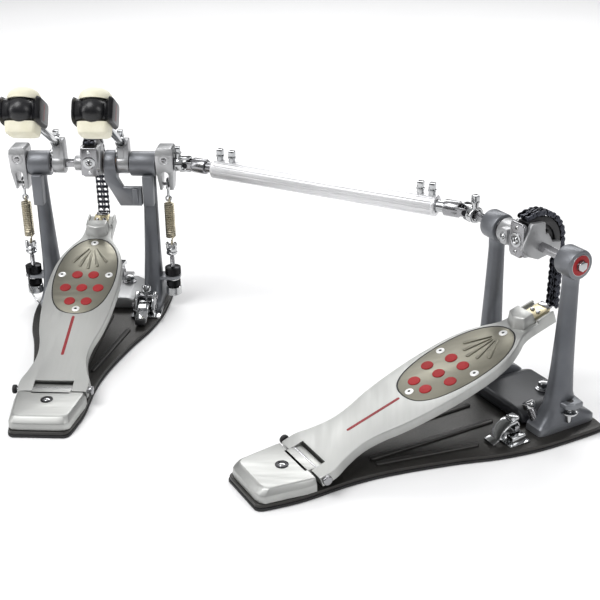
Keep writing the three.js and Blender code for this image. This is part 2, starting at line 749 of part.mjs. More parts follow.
// ---- universal joints: axis along X, joint centre at the origin, collar on the -X side ----
function yoke(name, collarLength, boreRadius, earsAlong) {
  let body = bar(YOKE_R, [-YOKE_FRONT - collarLength, 0, 0], [-8, 0, 0], 18);
  for (const side of [-1, 1]) {
    const flat = [side * EAR_IN, side * EAR_OUT];
    const low = Math.min(...flat);
    const high = Math.max(...flat);
    const upright = earsAlong === "z";
    const arm = upright
      ? block(-9, 0, -EAR_R, EAR_R, low, high)
      : block(-9, 0, low, high, -EAR_R, EAR_R);
    const tip = upright
      ? bar(EAR_R, [0, 0, low], [0, 0, high], 20)
      : bar(EAR_R, [0, low, 0], [0, high, 0], 20);
    body = body.add(arm).add(tip);
  }
  const pinHole =
    earsAlong === "z"
      ? bar(CROSS_HOLE_R, [0, 0, -20], [0, 0, 20], 16)
      : bar(CROSS_HOLE_R, [0, -20, 0], [0, 20, 0], 16);
  body = body.subtract(pinHole);
  if (boreRadius > 0) {
    body = body.subtract(bar(boreRadius, [-60, 0, 0], [-YOKE_FRONT, 0, 0], 24));
  }
  return piece(name, body, "chrome");
}

// Vertical pins stay upright; the other pair lies square to the drive shaft, turned by angle.
function jointCross(name, angle) {
  const c = Math.cos(angle);
  const s = Math.sin(angle);
  const hub = block(-3.2, 3.2, -3.2, 3.2, -3.2, 3.2);
  const upright = bar(CROSS_PIN_R, [0, 0, -8], [0, 0, 8], 12);
  const level = bar(CROSS_PIN_R, [s * 8, -c * 8, 0], [-s * 8, c * 8, 0], 12);
  return piece(name, union(hub, upright, level), "chrome");
}

// ---- drive shaft: along +X from the main universal joint ----
function flutedTube(length) {
  const shape = new THREE.Shape();
  const flutes = 8;
  for (let i = 0; i < flutes * 4; i++) {
    const a = (2 * PI * i) / (flutes * 4);
    const r = i % 4 < 2 ? TUBE_R : TUBE_R - 1.2;
    if (i === 0) shape.moveTo(r * Math.cos(a), r * Math.sin(a));
    else shape.lineTo(r * Math.cos(a), r * Math.sin(a));
  }
  const m = new THREE.Matrix4().makeBasis(
    new THREE.Vector3(0, 1, 0),
    new THREE.Vector3(0, 0, 1),
    new THREE.Vector3(1, 0, 0),
  );
  return prism(shape, length, m);
}

function driveShaft(length) {
  const end = TUBE_FROM + TUBE_LEN;
  const tubeBody = flutedTube(TUBE_LEN);
  const tube = tubeBody.subtract(bar(ROD_R + GAP * 2, [-10, 0, 0], [TUBE_LEN + 10, 0, 0], 24));
  const bolts = [8.5, 24, TUBE_LEN - 19, TUBE_LEN - 6].map((x) =>
    union(bar(3, [x, 0, 8.5], [x, 0, 14], 12), bar(3.6, [x, 0, 13.5], [x, 0, 24], 4)),
  );
  const tubeMesh = piece("drive_tube", union(tube, ...bolts), "tube");
  tubeMesh.position.x = TUBE_FROM;
  // Yoke with a spigot that plugs the tube's near end.
  const nearYoke = yoke("drive_tube_yoke", TUBE_FROM - 12, 0, "y");
  nearYoke.rotation.z = PI;
  nearYoke.geometry = geometryOf(
    solid(nearYoke.geometry).add(bar(ROD_R, [-TUBE_FROM - 45, 0, 0], [-TUBE_FROM + 5, 0, 0], 20)),
  );
  const rodBody = bar(ROD_R, [end - 150, 0, 0], [length - YOKE_FRONT - 2, 0, 0], 20);
  const rod = piece("drive_rod", rodBody, "chrome");
  const farYoke = yoke("drive_rod_yoke", ROD_YOKE_COLLAR, ROD_R + GAP, "y");
  farYoke.position.x = length;
  return [tubeMesh, nearYoke, rod, farYoke];
}

// ---- assembly ----
const pedal = new THREE.Group();

const main = new THREE.Group();
main.add(basePlate("main_"), heelPlate("main_"), hingePin("main_"));
main.add(frontCasting("main_", 46, 27, true), ...mainPosts(), centreBracket(), centreBush());
main.add(hoopClampJaw(), clampLever(), clampBlock());
main.add(boardGroup("main_"));
main.add(hexBar("main_axle", -95, 27.2), camWheel("main_"), camHub("main_", -21, -6.8));
main.add(...chainPieces("main_"));
main.add(beaterGroup("left", BEATER_X[0]), beaterGroup("right", BEATER_X[1]));
main.add(rocker("left_rocker", -94.5, -75.5), rocker("right_rocker", 73.7, 93.7));
main.add(hexBar("second_axle", 28.4, 99));
for (const side of [-1, 1]) {
  main.add(tensionBolt(side < 0 ? "left_tension_bolt" : "right_tension_bolt", side), ...springParts(side));
}
pedal.add(main);

const slave = new THREE.Group();
slave.position.set(SLAVE_AT[0], SLAVE_AT[1], 0);
slave.rotation.z = SLAVE_YAW;
slave.add(basePlate("slave_"), heelPlate("slave_"), hingePin("slave_"));
slave.add(frontCasting("slave_", 40, 12, false), ...slavePosts());
slave.add(boardGroup("slave_"));
slave.add(hexBar("slave_axle", SLAVE_JOINT_X + 11, 66), camWheel("slave_"), camHub("slave_", -40, -6.8));
slave.add(...chainPieces("slave_"));
pedal.add(slave);

// The slave's universal joint centre in the part's frame.
const slaveJoint = new THREE.Vector3(SLAVE_JOINT_X, AXLE_Y, AXLE_Z)
  .applyAxisAngle(new THREE.Vector3(0, 0, 1), SLAVE_YAW)
  .add(new THREE.Vector3(SLAVE_AT[0], SLAVE_AT[1], 0));
const mainJoint = new THREE.Vector3(MAIN_JOINT_X, AXLE_Y, AXLE_Z);
const shaftYaw = Math.atan2(slaveJoint.y - mainJoint.y, slaveJoint.x - mainJoint.x);

const mainYoke = yoke("main_joint_yoke", 6, BORE_R, "z");
mainYoke.position.copy(mainJoint);
const mainCross = jointCross("main_joint_cross", shaftYaw);
mainCross.position.copy(mainJoint);
pedal.add(mainYoke, mainCross);

const slaveYoke = yoke("slave_joint_yoke", 6, BORE_R, "z");
slaveYoke.position.copy(slaveJoint);
slaveYoke.rotation.z = SLAVE_YAW + PI;
const slaveCross = jointCross("slave_joint_cross", shaftYaw);
slaveCross.position.copy(slaveJoint);
pedal.add(slaveYoke, slaveCross);

const drive = new THREE.Group();
drive.position.copy(mainJoint);
drive.rotation.z = shaftYaw;
drive.add(...driveShaft(slaveJoint.distanceTo(mainJoint)));
pedal.add(drive);

export default pedal;
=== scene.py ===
import json
import math

import bmesh
import bpy
from mathutils import Matrix, Vector


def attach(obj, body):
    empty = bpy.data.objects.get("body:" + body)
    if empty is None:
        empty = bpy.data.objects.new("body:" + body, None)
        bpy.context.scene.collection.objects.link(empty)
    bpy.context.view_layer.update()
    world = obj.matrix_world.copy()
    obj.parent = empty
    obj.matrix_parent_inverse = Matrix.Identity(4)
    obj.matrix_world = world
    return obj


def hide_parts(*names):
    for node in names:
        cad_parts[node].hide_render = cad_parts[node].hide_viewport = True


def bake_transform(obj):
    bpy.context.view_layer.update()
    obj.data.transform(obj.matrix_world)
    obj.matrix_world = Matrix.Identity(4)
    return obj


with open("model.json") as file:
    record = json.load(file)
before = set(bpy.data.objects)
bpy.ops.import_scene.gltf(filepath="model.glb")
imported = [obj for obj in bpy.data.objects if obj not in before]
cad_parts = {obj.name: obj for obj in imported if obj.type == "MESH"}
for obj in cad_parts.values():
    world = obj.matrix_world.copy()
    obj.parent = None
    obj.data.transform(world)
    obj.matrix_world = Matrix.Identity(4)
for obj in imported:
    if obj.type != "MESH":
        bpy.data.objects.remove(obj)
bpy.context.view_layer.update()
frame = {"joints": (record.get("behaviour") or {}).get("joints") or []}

PI = math.pi

# Sizes below are in millimetres, in the frame of each pedal: X right, Y towards the drum, Z up,
# with the origin on the floor under the hinge pin.
JOINTS = {j["name"]: j for j in frame["joints"]}
AXLE_Y, AXLE_Z = (1000 * v for v in JOINTS["left_beater_swing"]["pos_m"][1:])
HINGE_Z = 1000 * JOINTS["main_footboard_press"]["pos_m"][2]
SPRING_X = 1000 * JOINTS["right_spring_tilt"]["pos_m"][0]
SWIVEL_Z = 1000 * JOINTS["right_spring_tilt"]["pos_m"][2]
LEVER_PIVOT = [1000 * v for v in JOINTS["clamp_lever_lift"]["pos_m"]]
JAW_PIVOT = [1000 * v for v in JOINTS["hoop_clamp_open"]["pos_m"]]
BOARD_PITCH = math.radians(17.3)
SHAFT_SEAT = 22.0
BEATER_LEAN = math.radians(59.5)
BEATER_LEN = 135
BEATER_X = {"left": -39.0, "right": 35.3}
BASE_TOP = 6.0
RUBBER_TOP = 2.4
BASE_FRONT_Y = 290.0
FOOT_BACK = AXLE_Y - 30
FOOT_FRONT = AXLE_Y + 38
BOARD_TOP = 3.0
TOE_S = 282.0
KNUCKLE_X = 20.1
HOUSING_R = 14.25
HEX_R = 5.2
WHEEL_R = 27.5
CHAIN_R = 31.1
CHAIN_PITCH = 6.35
CHAIN_WRAP = 2.05
CHAIN_END_Z = 100.0
HOOK_PIN_Z = AXLE_Z - 24
COIL_LOW, COIL_HIGH, COIL_R = 84.0, 131.0, 5.0
TUBE_R, TUBE_FROM, TUBE_LEN = 11.0, 35.0, 271.0
ROD_R = 6.0

SHAFT_R = 4.0
STRAND_X = 3.6
LINK_THICKNESS = 0.76
STUD_ROWS = ((130.2, (-9.15, 9.15)), (152.4, (-18.3, 0, 18.3)), (174.5, (-9.15, 9.15)))
PLATE_SCREWS = ((0, 117.9), (-26.6, 174.5), (26.6, 174.5), (0, 231))
CAM_FROM = -0.3
CAM_SPOKES = (-0.1, 0.6, 1.3, 1.95)
LUG_Z = (34.5, 38.5)
COLLAR_BORE = 5.6
HEEL_FRONT = -8.2

# The camera's place in metres, its turns about Z, X and Z, and its lens.
CAMERA_AT = (0.3047, -0.9702, 0.5648)
CAMERA_TURNS = ((0.056, "Z"), (math.radians(65.42), "X"), (-0.009, "Z"))
CAMERA_LENS = 66.87

MM = Matrix.Scale(0.001, 4)


def flat_frame(point, x_axis):
    """A frame on the floor under point, with its X along x_axis, for shapes in millimetres."""
    yaw = math.atan2(x_axis[1], x_axis[0])
    return Matrix.Translation((point[0], point[1], 0)) @ Matrix.Rotation(yaw, 4, "Z") @ MM


MAIN = MM
slave_joint = JOINTS["slave_footboard_press"]
SLAVE = flat_frame(slave_joint["pos_m"], [-v for v in slave_joint["axis"]])


# ---------------------------------------------------------------- materials
class Nodes:
    """A node tree with short calls for the nodes that the finishes share."""

    def __init__(self, name):
        self.material = bpy.data.materials.new(name)
        self.material.use_nodes = True
        self.tree = self.material.node_tree
        self.shader = self.tree.nodes["Principled BSDF"]
        self.coords = self.tree.nodes.new("ShaderNodeTexCoord")

    def node(self, kind, inputs=None, **settings):
        made = self.tree.nodes.new(kind)
        for key, value in settings.items():
            setattr(made, key, value)
        for key, value in (inputs or {}).items():
            if isinstance(value, bpy.types.NodeSocket):
                self.tree.links.new(value, made.inputs[key])
            else:
                made.inputs[key].default_value = value
        return made

    def scaled(self, scale):
        mapping = self.node("ShaderNodeMapping", {"Vector": self.coords.outputs["Object"], "Scale": scale})
        return mapping.outputs["Vector"]

    def noise(self, scale, detail, stretch=(1, 1, 1)):
        inputs = {"Vector": self.scaled(stretch), "Scale": scale, "Detail": detail}
        return self.node("ShaderNodeTexNoise", inputs).outputs["Fac"]

    def ramp(self, fac, low, high, color_low, color_high):
        made = self.node("ShaderNodeValToRGB", {"Fac": fac})
        made.color_ramp.elements[0].position = low
        made.color_ramp.elements[1].position = high
        made.color_ramp.elements[0].color = (*color_low, 1)
        made.color_ramp.elements[1].color = (*color_high, 1)
        return made.outputs["Color"]

    def spread(self, fac, low, high):
        inputs = {"Value": fac, "From Min": 0.3, "From Max": 0.7, "To Min": low, "To Max": high}
        return self.node("ShaderNodeMapRange", inputs).outputs["Result"]

    def edges(self, color, wear_and_highlight, amount):
        """color, lighter along convex edges: partly edge wear, partly a painted highlight on the edges."""
        geometry = self.node("ShaderNodeNewGeometry")
        # Painted highlight along convex edges, mixed with edge wear.
        mask = self.ramp(geometry.outputs["Pointiness"], 0.52, 0.60, (0, 0, 0), (amount,) * 3)
        mix = self.tree.nodes.new("ShaderNodeMix")
        mix.data_type = "RGBA"
        self.tree.links.new(mask, mix.inputs[0])
        self.tree.links.new(color, mix.inputs[6])
        mix.inputs[7].default_value = (*wear_and_highlight, 1)
        return mix.outputs[2]

    def bump(self, height, strength, distance):
        inputs = {"Height": height, "Strength": strength, "Distance": distance}
        return self.node("ShaderNodeBump", inputs).outputs["Normal"]

    def finish(self, **sockets):
        for key, value in sockets.items():
            socket = self.shader.inputs[key.replace("_", " ")]
            if isinstance(value, bpy.types.NodeSocket):
                self.tree.links.new(value, socket)
            else:
                socket.default_value = value
        return self.material


def brushed_metal(name, dark, light, rough, stretch):
    """Metal with fine lines along one axis and soft patches."""
    n = Nodes(name)
    lines = n.noise(240, 6, stretch)
    patches = n.noise(9, 3)
    color = n.ramp(patches, 0.3, 0.7, dark, light)
    return n.finish(
        Base_Color=color,
        Metallic=1.0,
        Roughness=n.spread(lines, rough - 0.06, rough + 0.07),
        Normal=n.bump(lines, 0.06, 0.0004),
    )


def polished_metal(name, dark, light, rough):
    """Chrome and polished steel, with faint smudges in the gloss."""
    n = Nodes(name)
    smudge = n.noise(60, 5)
    color = n.ramp(n.noise(14, 2), 0.3, 0.7, dark, light)
    return n.finish(
        Base_Color=color,
        Metallic=1.0,
        Roughness=n.spread(smudge, rough, rough + 0.08),
        Normal=n.bump(n.noise(700, 3), 0.03, 0.0002),
    )


def cast_paint(name, dark, light, wear_and_highlight, rough, metallic, grain=900):
    """Powder coat over a casting: fine grain, soft patches, and lighter edges from edge wear and a painted
    highlight.
    """
    n = Nodes(name)
    fine = n.noise(grain, 3)
    color = n.ramp(n.noise(25, 5), 0.3, 0.7, dark, light)
    return n.finish(
        Base_Color=n.edges(color, wear_and_highlight, 0.7),
        Metallic=metallic,
        Roughness=n.spread(fine, rough - 0.06, rough + 0.1),
        Normal=n.bump(fine, 0.12, 0.0004),
    )


def moulded(name, dark, light, rough, bump=0.1, grain=1100, coat=0.0):
    """Moulded plastic or rubber with a fine texture."""
    n = Nodes(name)
    fine = n.noise(grain, 4)
    color = n.ramp(n.noise(30, 4), 0.3, 0.7, dark, light)
    return n.finish(
        Base_Color=color,
        Metallic=0.0,
        Roughness=n.spread(fine, rough - 0.05, rough + 0.08),
        Normal=n.bump(fine, bump, 0.0004),
        Coat_Weight=coat,
    )


def pressed_felt(name):
    """Hard pressed felt: matted fibres and a faint sheen."""
    n = Nodes(name)
    fibres = n.noise(520, 8, (1, 1, 0.45))
    mottled = n.ramp(n.noise(70, 6), 0.3, 0.7, (0.76, 0.73, 0.56), (0.86, 0.83, 0.68))
    return n.finish(
        Base_Color=mottled,
        Metallic=0.0,
        Roughness=n.spread(fibres, 0.74, 0.92),
        Normal=n.bump(fibres, 0.3, 0.0008),
        Sheen_Weight=0.25,
    )


MAT = {
    "board": brushed_metal(
        "board_aluminium", (0.42, 0.425, 0.415), (0.49, 0.495, 0.48), 0.48, (1, 0.06, 0.3)
    ),
    "heel": brushed_metal("heel_aluminium", (0.40, 0.405, 0.395), (0.47, 0.475, 0.46), 0.46, (0.08, 1, 0.3)),
    "plate": brushed_metal("traction_plate", (0.215, 0.205, 0.165), (0.29, 0.28, 0.23), 0.38, (0.08, 1, 0.3)),
    # Each casting's third colour is its edge colour: edge wear and a painted highlight.
    "casting": cast_paint(
        "grey_casting", (0.10, 0.106, 0.118), (0.145, 0.152, 0.165), (0.36, 0.37, 0.39), 0.38, 0.55
    ),
    # Darker copy of the grey casting: painted shade, for the slave's front bridge that sits under the board.
    "dark": cast_paint(
        "grey_casting_painted_shade", (0.018, 0.019, 0.022), (0.030, 0.032, 0.036), (0.10, 0.105, 0.115), 0.36, 0.35
    ),
    "light": cast_paint(
        "light_casting", (0.30, 0.305, 0.31), (0.40, 0.405, 0.41), (0.60, 0.60, 0.61), 0.34, 0.7
    ),
    "base": cast_paint(
        "base_steel", (0.020, 0.019, 0.017), (0.034, 0.032, 0.029), (0.09, 0.09, 0.09), 0.38, 0.4, 500
    ),
    "rubber": moulded("base_rubber", (0.008, 0.008, 0.009), (0.016, 0.016, 0.017), 0.6, 0.2, 700),
    "chrome": polished_metal("chrome", (0.42, 0.43, 0.44), (0.56, 0.565, 0.57), 0.09),
    "steel": polished_metal("plated_steel", (0.27, 0.27, 0.28), (0.38, 0.38, 0.39), 0.2),
    "black_metal": polished_metal("black_nut", (0.014, 0.014, 0.016), (0.03, 0.03, 0.032), 0.26),
    "chain": polished_metal("chain_steel", (0.022, 0.023, 0.03), (0.06, 0.063, 0.075), 0.2),
    "wire": brushed_metal("spring_wire", (0.36, 0.32, 0.23), (0.50, 0.46, 0.36), 0.3, (1, 1, 1)),
    "wheel": moulded("wheel_plastic", (0.010, 0.010, 0.011), (0.02, 0.02, 0.022), 0.42),
    "core": moulded("core_plastic", (0.004, 0.004, 0.005), (0.008, 0.008, 0.010), 0.30, 0.02, 900, 0.0),
    "red": moulded("red_rubber", (0.27, 0.002, 0.004), (0.36, 0.006, 0.010), 0.58, 0.16, 900),
    "stripe": moulded("red_inlay", (0.20, 0.004, 0.008), (0.27, 0.010, 0.016), 0.45),
    # Near-black: the plate's gasket, and painted shade in screw sockets and a hole.
    "gasket_and_hole_shade": moulded("plate_gasket_and_hole_shade", (0.006, 0.006, 0.006), (0.012, 0.012, 0.012), 0.5),
    "brass": brushed_metal("brass", (0.46, 0.40, 0.24), (0.58, 0.52, 0.36), 0.34, (0.1, 1, 1)),
    "bronze": brushed_metal("bronze_bush", (0.46, 0.24, 0.14), (0.60, 0.34, 0.20), 0.32, (1, 1, 1)),
    "tube": brushed_metal("tube_aluminium", (0.72, 0.72, 0.73), (0.80, 0.80, 0.81), 0.52, (0.06, 0.5, 1)),
    "washer": brushed_metal("white_nickel", (0.74, 0.74, 0.73), (0.86, 0.86, 0.85), 0.52, (1, 1, 1)),
    "felt": pressed_felt("beater_felt"),
}


# ---------------------------------------------------------------- shape tools
def ring_outline(stations, steps):
    """A closed outline, mirrored about x = 0, through [half width, y] stations."""
    right = smooth_path([Vector((h, y, 0)) for h, y in stations], steps)
    left = [Vector((-p.x, p.y, 0)) for p in reversed(right)]
    return [(p.x, p.y) for p in right + left]


def smooth_path(points, steps):
    """A Catmull-Rom curve through points."""
    path = []
    last = len(points) - 1
    for i in range(last):
        p0 = points[max(i - 1, 0)]
        p1 = points[i]
        p2 = points[i + 1]
        p3 = points[min(i + 2, last)]
        for k in range(steps):
            t = k / steps
            a = 2 * p1
            b = (p2 - p0) * t
            c = (2 * p0 - 5 * p1 + 4 * p2 - p3) * t * t
            d = (3 * p1 - p0 - 3 * p2 + p3) * t**3
            path.append((a + b + c + d) / 2)
    path.append(points[last].copy())
    return path


def arc(center, radius, a0, a1, steps):
    cy, cz = center
    angles = [a0 + (a1 - a0) * i / steps for i in range(steps + 1)]
    return [(cy + radius * math.cos(a), cz + radius * math.sin(a)) for a in angles]


def circle(radius, sides):
    angles = [2 * PI * i / sides for i in range(sides)]
    return [(radius * math.cos(a), radius * math.sin(a)) for a in angles]


def on_axle(x):
    """The point of the axle line at x."""
    return (x, AXLE_Y, AXLE_Z)


def by_axle(offsets):
    """Points in (y, z) from offsets to the axle."""
    return [(AXLE_Y + y, AXLE_Z + z) for y, z in offsets]


def wire_ring(x, z, radius, steps, facing="x"):
    """A closed round path over the axle's y, about (x, z), facing along x or y."""
    path = []
    for k in range(steps + 1):
        turn = 2 * PI * k / steps
        swing = radius * math.sin(turn)
        rise = z + radius * math.cos(turn)
        if facing == "x":
            path.append(Vector((x, AXLE_Y + swing, rise)))
        else:
            path.append(Vector((x + swing, AXLE_Y, rise)))
    return path


def round_sharp_edges(bm, width, segments, angle):
    """Bevels the edges of bm that turn by more than angle degrees."""
    limit = math.radians(angle)
    sharp = [e for e in bm.edges if len(e.link_faces) == 2 and e.calc_face_angle(0) > limit]
    bmesh.ops.bevel(
        bm, geom=sharp, offset=width, segments=segments, profile=0.5, affect="EDGES", clamp_overlap=True
    )


def turned_to(direction):
    """Rotation that takes +Z to direction."""
    return Vector((0, 0, 1)).rotation_difference(Vector(direction)).to_matrix().to_4x4()


AXES = {
    "x": Matrix(((0, 0, 1, 0), (1, 0, 0, 0), (0, 1, 0, 0), (0, 0, 0, 1))),
    "y": Matrix(((1, 0, 0, 0), (0, 0, -1, 0), (0, 1, 0, 0), (0, 0, 0, 1))),
    "z": Matrix.Identity(4),
}


class Shape:
    """Solids in millimetres that become one piece."""

    def __init__(self, place):
        self.bm = bmesh.new()
        self.place = place
        self.materials = []

    def take(self, part, material, bevel, segments, matrix=None, angle=32):
        """Adds a closed solid, with its sharp edges rounded by bevel."""
        if matrix is not None:
            bmesh.ops.transform(part, matrix=matrix, verts=part.verts)
        bmesh.ops.remove_doubles(part, verts=part.verts, dist=1e-4)
        bmesh.ops.recalc_face_normals(part, faces=part.faces)
        if bevel > 0:
            round_sharp_edges(part, bevel, segments, angle)
        if material not in self.materials:
            self.materials.append(material)
        index = self.materials.index(material)
        for face in part.faces:
            face.material_index = index
        mesh = bpy.data.meshes.new("part")
        part.to_mesh(mesh)
        part.free()
        self.bm.from_mesh(mesh)
        bpy.data.meshes.remove(mesh)

    def block(self, x0, x1, y0, y1, z0, z1, material, bevel, segments=2, matrix=None):
        part = bmesh.new()
        size = Matrix.Diagonal((x1 - x0, y1 - y0, z1 - z0, 1))
        middle = Matrix.Translation(((x0 + x1) / 2, (y0 + y1) / 2, (z0 + z1) / 2))
        bmesh.ops.create_cube(part, size=1, matrix=middle @ size)
        self.take(part, material, bevel, segments, matrix)

    def prism(self, outline, axis, low, high, material, bevel, segments=2, matrix=None, angle=32):
        """An outline in the plane across axis, from low to high along it."""
        part = bmesh.new()
        place = AXES[axis]
        flip = -1 if axis == "y" else 1
        verts = [part.verts.new(place @ Vector((u, v, flip * low))) for u, v in outline]
        face = part.faces.new(verts)
        grown = bmesh.ops.extrude_face_region(part, geom=[face])
        moved = [g for g in grown["geom"] if isinstance(g, bmesh.types.BMVert)]
        shift = place.to_3x3() @ Vector((0, 0, flip * (high - low)))
        bmesh.ops.translate(part, vec=shift, verts=moved)
        self.take(part, material, bevel, segments, matrix, angle)

    def turn(self, profile, material, at=(0, 0, 0), along=(0, 0, 1), sides=40, closed=False, matrix=None):
        """A profile of (radius, height) turned about an axis through at; closed makes a ring."""
        part = bmesh.new()
        place = Matrix.Translation(at) @ turned_to(along)
        rows = []
        for radius, height in profile:
            if radius < 1e-6:
                rows.append([part.verts.new(place @ Vector((0, 0, height)))])
            else:
                rim = [place @ Vector((x, y, height)) for x, y in circle(radius, sides)]
                rows.append([part.verts.new(point) for point in rim])
        pairs = list(zip(rows, rows[1:]))
        if closed:
            pairs.append((rows[-1], rows[0]))
        for low, high in pairs:
            for i in range(sides):
                j = (i + 1) % sides
                if len(low) == 1 and len(high) == 1:
                    continue
                if len(low) == 1:
                    part.faces.new((low[0], high[j], high[i]))
                elif len(high) == 1:
                    part.faces.new((low[i], low[j], high[0]))
                else:
                    part.faces.new((low[i], low[j], high[j], high[i]))
        self.take(part, material, 0, 1, matrix)

    def bar(self, radius, a, b, material, bevel, sides=32):
        """A round bar from a to b with eased ends."""
        a, b = Vector(a), Vector(b)
        length = (b - a).length
        e = min(bevel, radius * 0.9, length * 0.45)
        steps = 3
        angles = [k * PI / 2 / steps for k in range(steps + 1)]
        rise = [(radius - e + e * math.sin(t), e - e * math.cos(t)) for t in angles]
        profile = [(0, 0)] + rise + [(r, length - h) for r, h in reversed(rise)] + [(0, length)]
        self.turn(profile, material, a, b - a, sides)

    def ring(self, inner, outer, a, b, material, bevel, sides=48):
        """A tube from a to b with eased rims."""
        a, b = Vector(a), Vector(b)
        n = (b - a).length
        e = min(bevel, (outer - inner) * 0.45, n * 0.45)
        profile = [
            (outer - e, 0),
            (outer - 0.3 * e, 0.3 * e),
            (outer, e),
            (outer, n - e),
            (outer - 0.3 * e, n - 0.3 * e),
            (outer - e, n),
            (inner + e, n),
            (inner, n - e),
            (inner, e),
            (inner + e, 0),
        ]
        self.turn(profile, material, a, b - a, sides, closed=True)

    def hex(self, radius, a, b, material, bevel):
        a, b = Vector(a), Vector(b)
        part = bmesh.new()
        place = Matrix.Translation(a) @ turned_to(b - a)
        low = [part.verts.new(place @ Vector((x, y, 0))) for x, y in circle(radius, 6)]
        high = [part.verts.new(place @ Vector((x, y, (b - a).length))) for x, y in circle(radius, 6)]
        part.faces.new(low)
        part.faces.new(high)
        for i in range(6):
            j = (i + 1) % 6
            part.faces.new((low[i], low[j], high[j], high[i]))
        self.take(part, material, bevel, 2)

    def tube(self, path, radius, material, sides):
        """A round wire along path."""
        path = [Vector(p) for p in path]
        part = bmesh.new()
        rows = []
        normal = None
        for i, p in enumerate(path):
            ahead = path[min(i + 1, len(path) - 1)]
            behind = path[max(i - 1, 0)]
            tangent = (ahead - behind).normalized()
            if normal is None:
                helper = Vector((0, 0, 1)) if abs(tangent.z) < 0.9 else Vector((1, 0, 0))
                normal = tangent.cross(helper).normalized()
            normal = (normal - tangent * normal.dot(tangent)).normalized()
            side = tangent.cross(normal)
            row = []
            for k in range(sides):
                a = 2 * PI * k / sides
                row.append(part.verts.new(p + radius * (math.cos(a) * normal + math.sin(a) * side)))
            rows.append(row)
        for low, high in zip(rows, rows[1:]):
            for i in range(sides):
                j = (i + 1) % sides
                part.faces.new((low[i], low[j], high[j], high[i]))
        part.faces.new(rows[0])
        part.faces.new(rows[-1])
        self.take(part, material, 0, 1)

    def loft(self, rings, material, bevel, angle=32):
        """A closed body through rings of points, each with the same number of points."""
        part = bmesh.new()
        rows = [[part.verts.new(Vector(p)) for p in points] for points in rings]
        count = len(rows[0])
        for low, high in zip(rows, rows[1:]):
            for i in range(count):
                j = (i + 1) % count
                part.faces.new((low[i], low[j], high[j], high[i]))
        part.faces.new(rows[0])
        part.faces.new(rows[-1])
        self.take(part, material, bevel, 2, angle=angle)

    def cut(self, other, operation="DIFFERENCE"):
        """Removes another shape's space from what is here so far, or keeps only what they share."""
        target = self.to_object("cut_target")
        tool = other.to_object("cut_tool")
        modifier = target.modifiers.new("cut", "BOOLEAN")
        modifier.operation = operation
        modifier.solver = "EXACT"
        modifier.use_self = True
        modifier.object = tool
        bpy.context.view_layer.update()
        evaluated = target.evaluated_get(bpy.context.evaluated_depsgraph_get())
        made = bpy.data.meshes.new_from_object(evaluated)
        self.bm = bmesh.new()
        self.bm.from_mesh(made)
        bpy.data.meshes.remove(made)
        for o in (target, tool):
            mesh = o.data
            bpy.data.objects.remove(o)
            bpy.data.meshes.remove(mesh)
        return self

    def soften(self, width, angle=30, segments=2):
        """Rounds the sharp edges of everything here."""
        bmesh.ops.remove_doubles(self.bm, verts=self.bm.verts, dist=1e-4)
        bmesh.ops.dissolve_degenerate(self.bm, dist=1e-4, edges=self.bm.edges)
        round_sharp_edges(self.bm, width, segments, angle)

    def to_object(self, name):
        mesh = bpy.data.meshes.new(name)
        self.bm.to_mesh(mesh)
        self.bm.free()
        made = bpy.data.objects.new(name, mesh)
        bpy.context.scene.collection.objects.link(made)
        for material in self.materials:
            mesh.materials.append(MAT[material])
        return made

    def piece(self, name, body, replaces=(), slot=None, smooth=38, blend=None):
        """Finishes the piece and makes it ride on body; with blend given, it is only baked in place and rides
        on no body.
        """
        made = self.to_object(name)
        made.data.transform(self.place)
        made.data.polygons.foreach_set("use_smooth", [True] * len(made.data.polygons))
        made.data.set_sharp_from_angle(angle=math.radians(smooth))
        if blend:
            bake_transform(made)
        else:
            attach(made, body)
        if replaces:
            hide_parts(*replaces)


# ---------------------------------------------------------------- base and heel
def base_outline(inset):
    return ring_outline(
        [
            (26 - inset, -66 + inset),
            (31 - inset, -62 + inset),
            (34.5 - inset, -45),
            (37.5 - inset, -20),
            (37.5 - inset, 30),
            (43 - inset, 72),
            (57 - inset, 128),
            (70 - inset, 168),
            (77.5 - inset, 206),
            (80 - inset, 245),
            (80 - inset, BASE_FRONT_Y - 9),
            (76 - inset, BASE_FRONT_Y - 2 - inset),
            (66 - inset, BASE_FRONT_Y - inset),
        ],
        5,
    )


def capsule(a, b, radius, steps=8):
    """Outline round the line from a to b."""
    a, b = Vector((*a, 0)), Vector((*b, 0))
    heading = math.atan2(b.y - a.y, b.x - a.x)
    points = []
    for end, start in ((b, heading - PI / 2), (a, heading + PI / 2)):
        for k in range(steps + 1):
            t = start + PI * k / steps
            points.append((end.x + radius * math.cos(t), end.y + radius * math.sin(t)))
    return points


def base(prefix, place, body):
    rubber = Shape(place)
    rubber.prism(base_outline(1.0), "z", 0, RUBBER_TOP, "rubber", 0.7, 2)
    rubber.piece(prefix + "base_mat", body, slot="base_steel")
    plate = Shape(place)
    plate.prism(base_outline(1.8), "z", RUBBER_TOP + 0.1, BASE_TOP, "base", 1.1, 3)
    ribs = (((16, 62), (18, 196)), ((26, 62), (45, 158)))
    for side in (-1, 1):
        for (x0, y0), (x1, y1) in ribs:
            line = capsule((side * x0, y0), (side * x1, y1), 3.0)
            plate.prism(line, "z", BASE_TOP - 1, BASE_TOP + 2.2, "base", 1.4, 3)
    plate.piece(prefix + "base_steel", body, [prefix + "base_plate"], "base_steel")


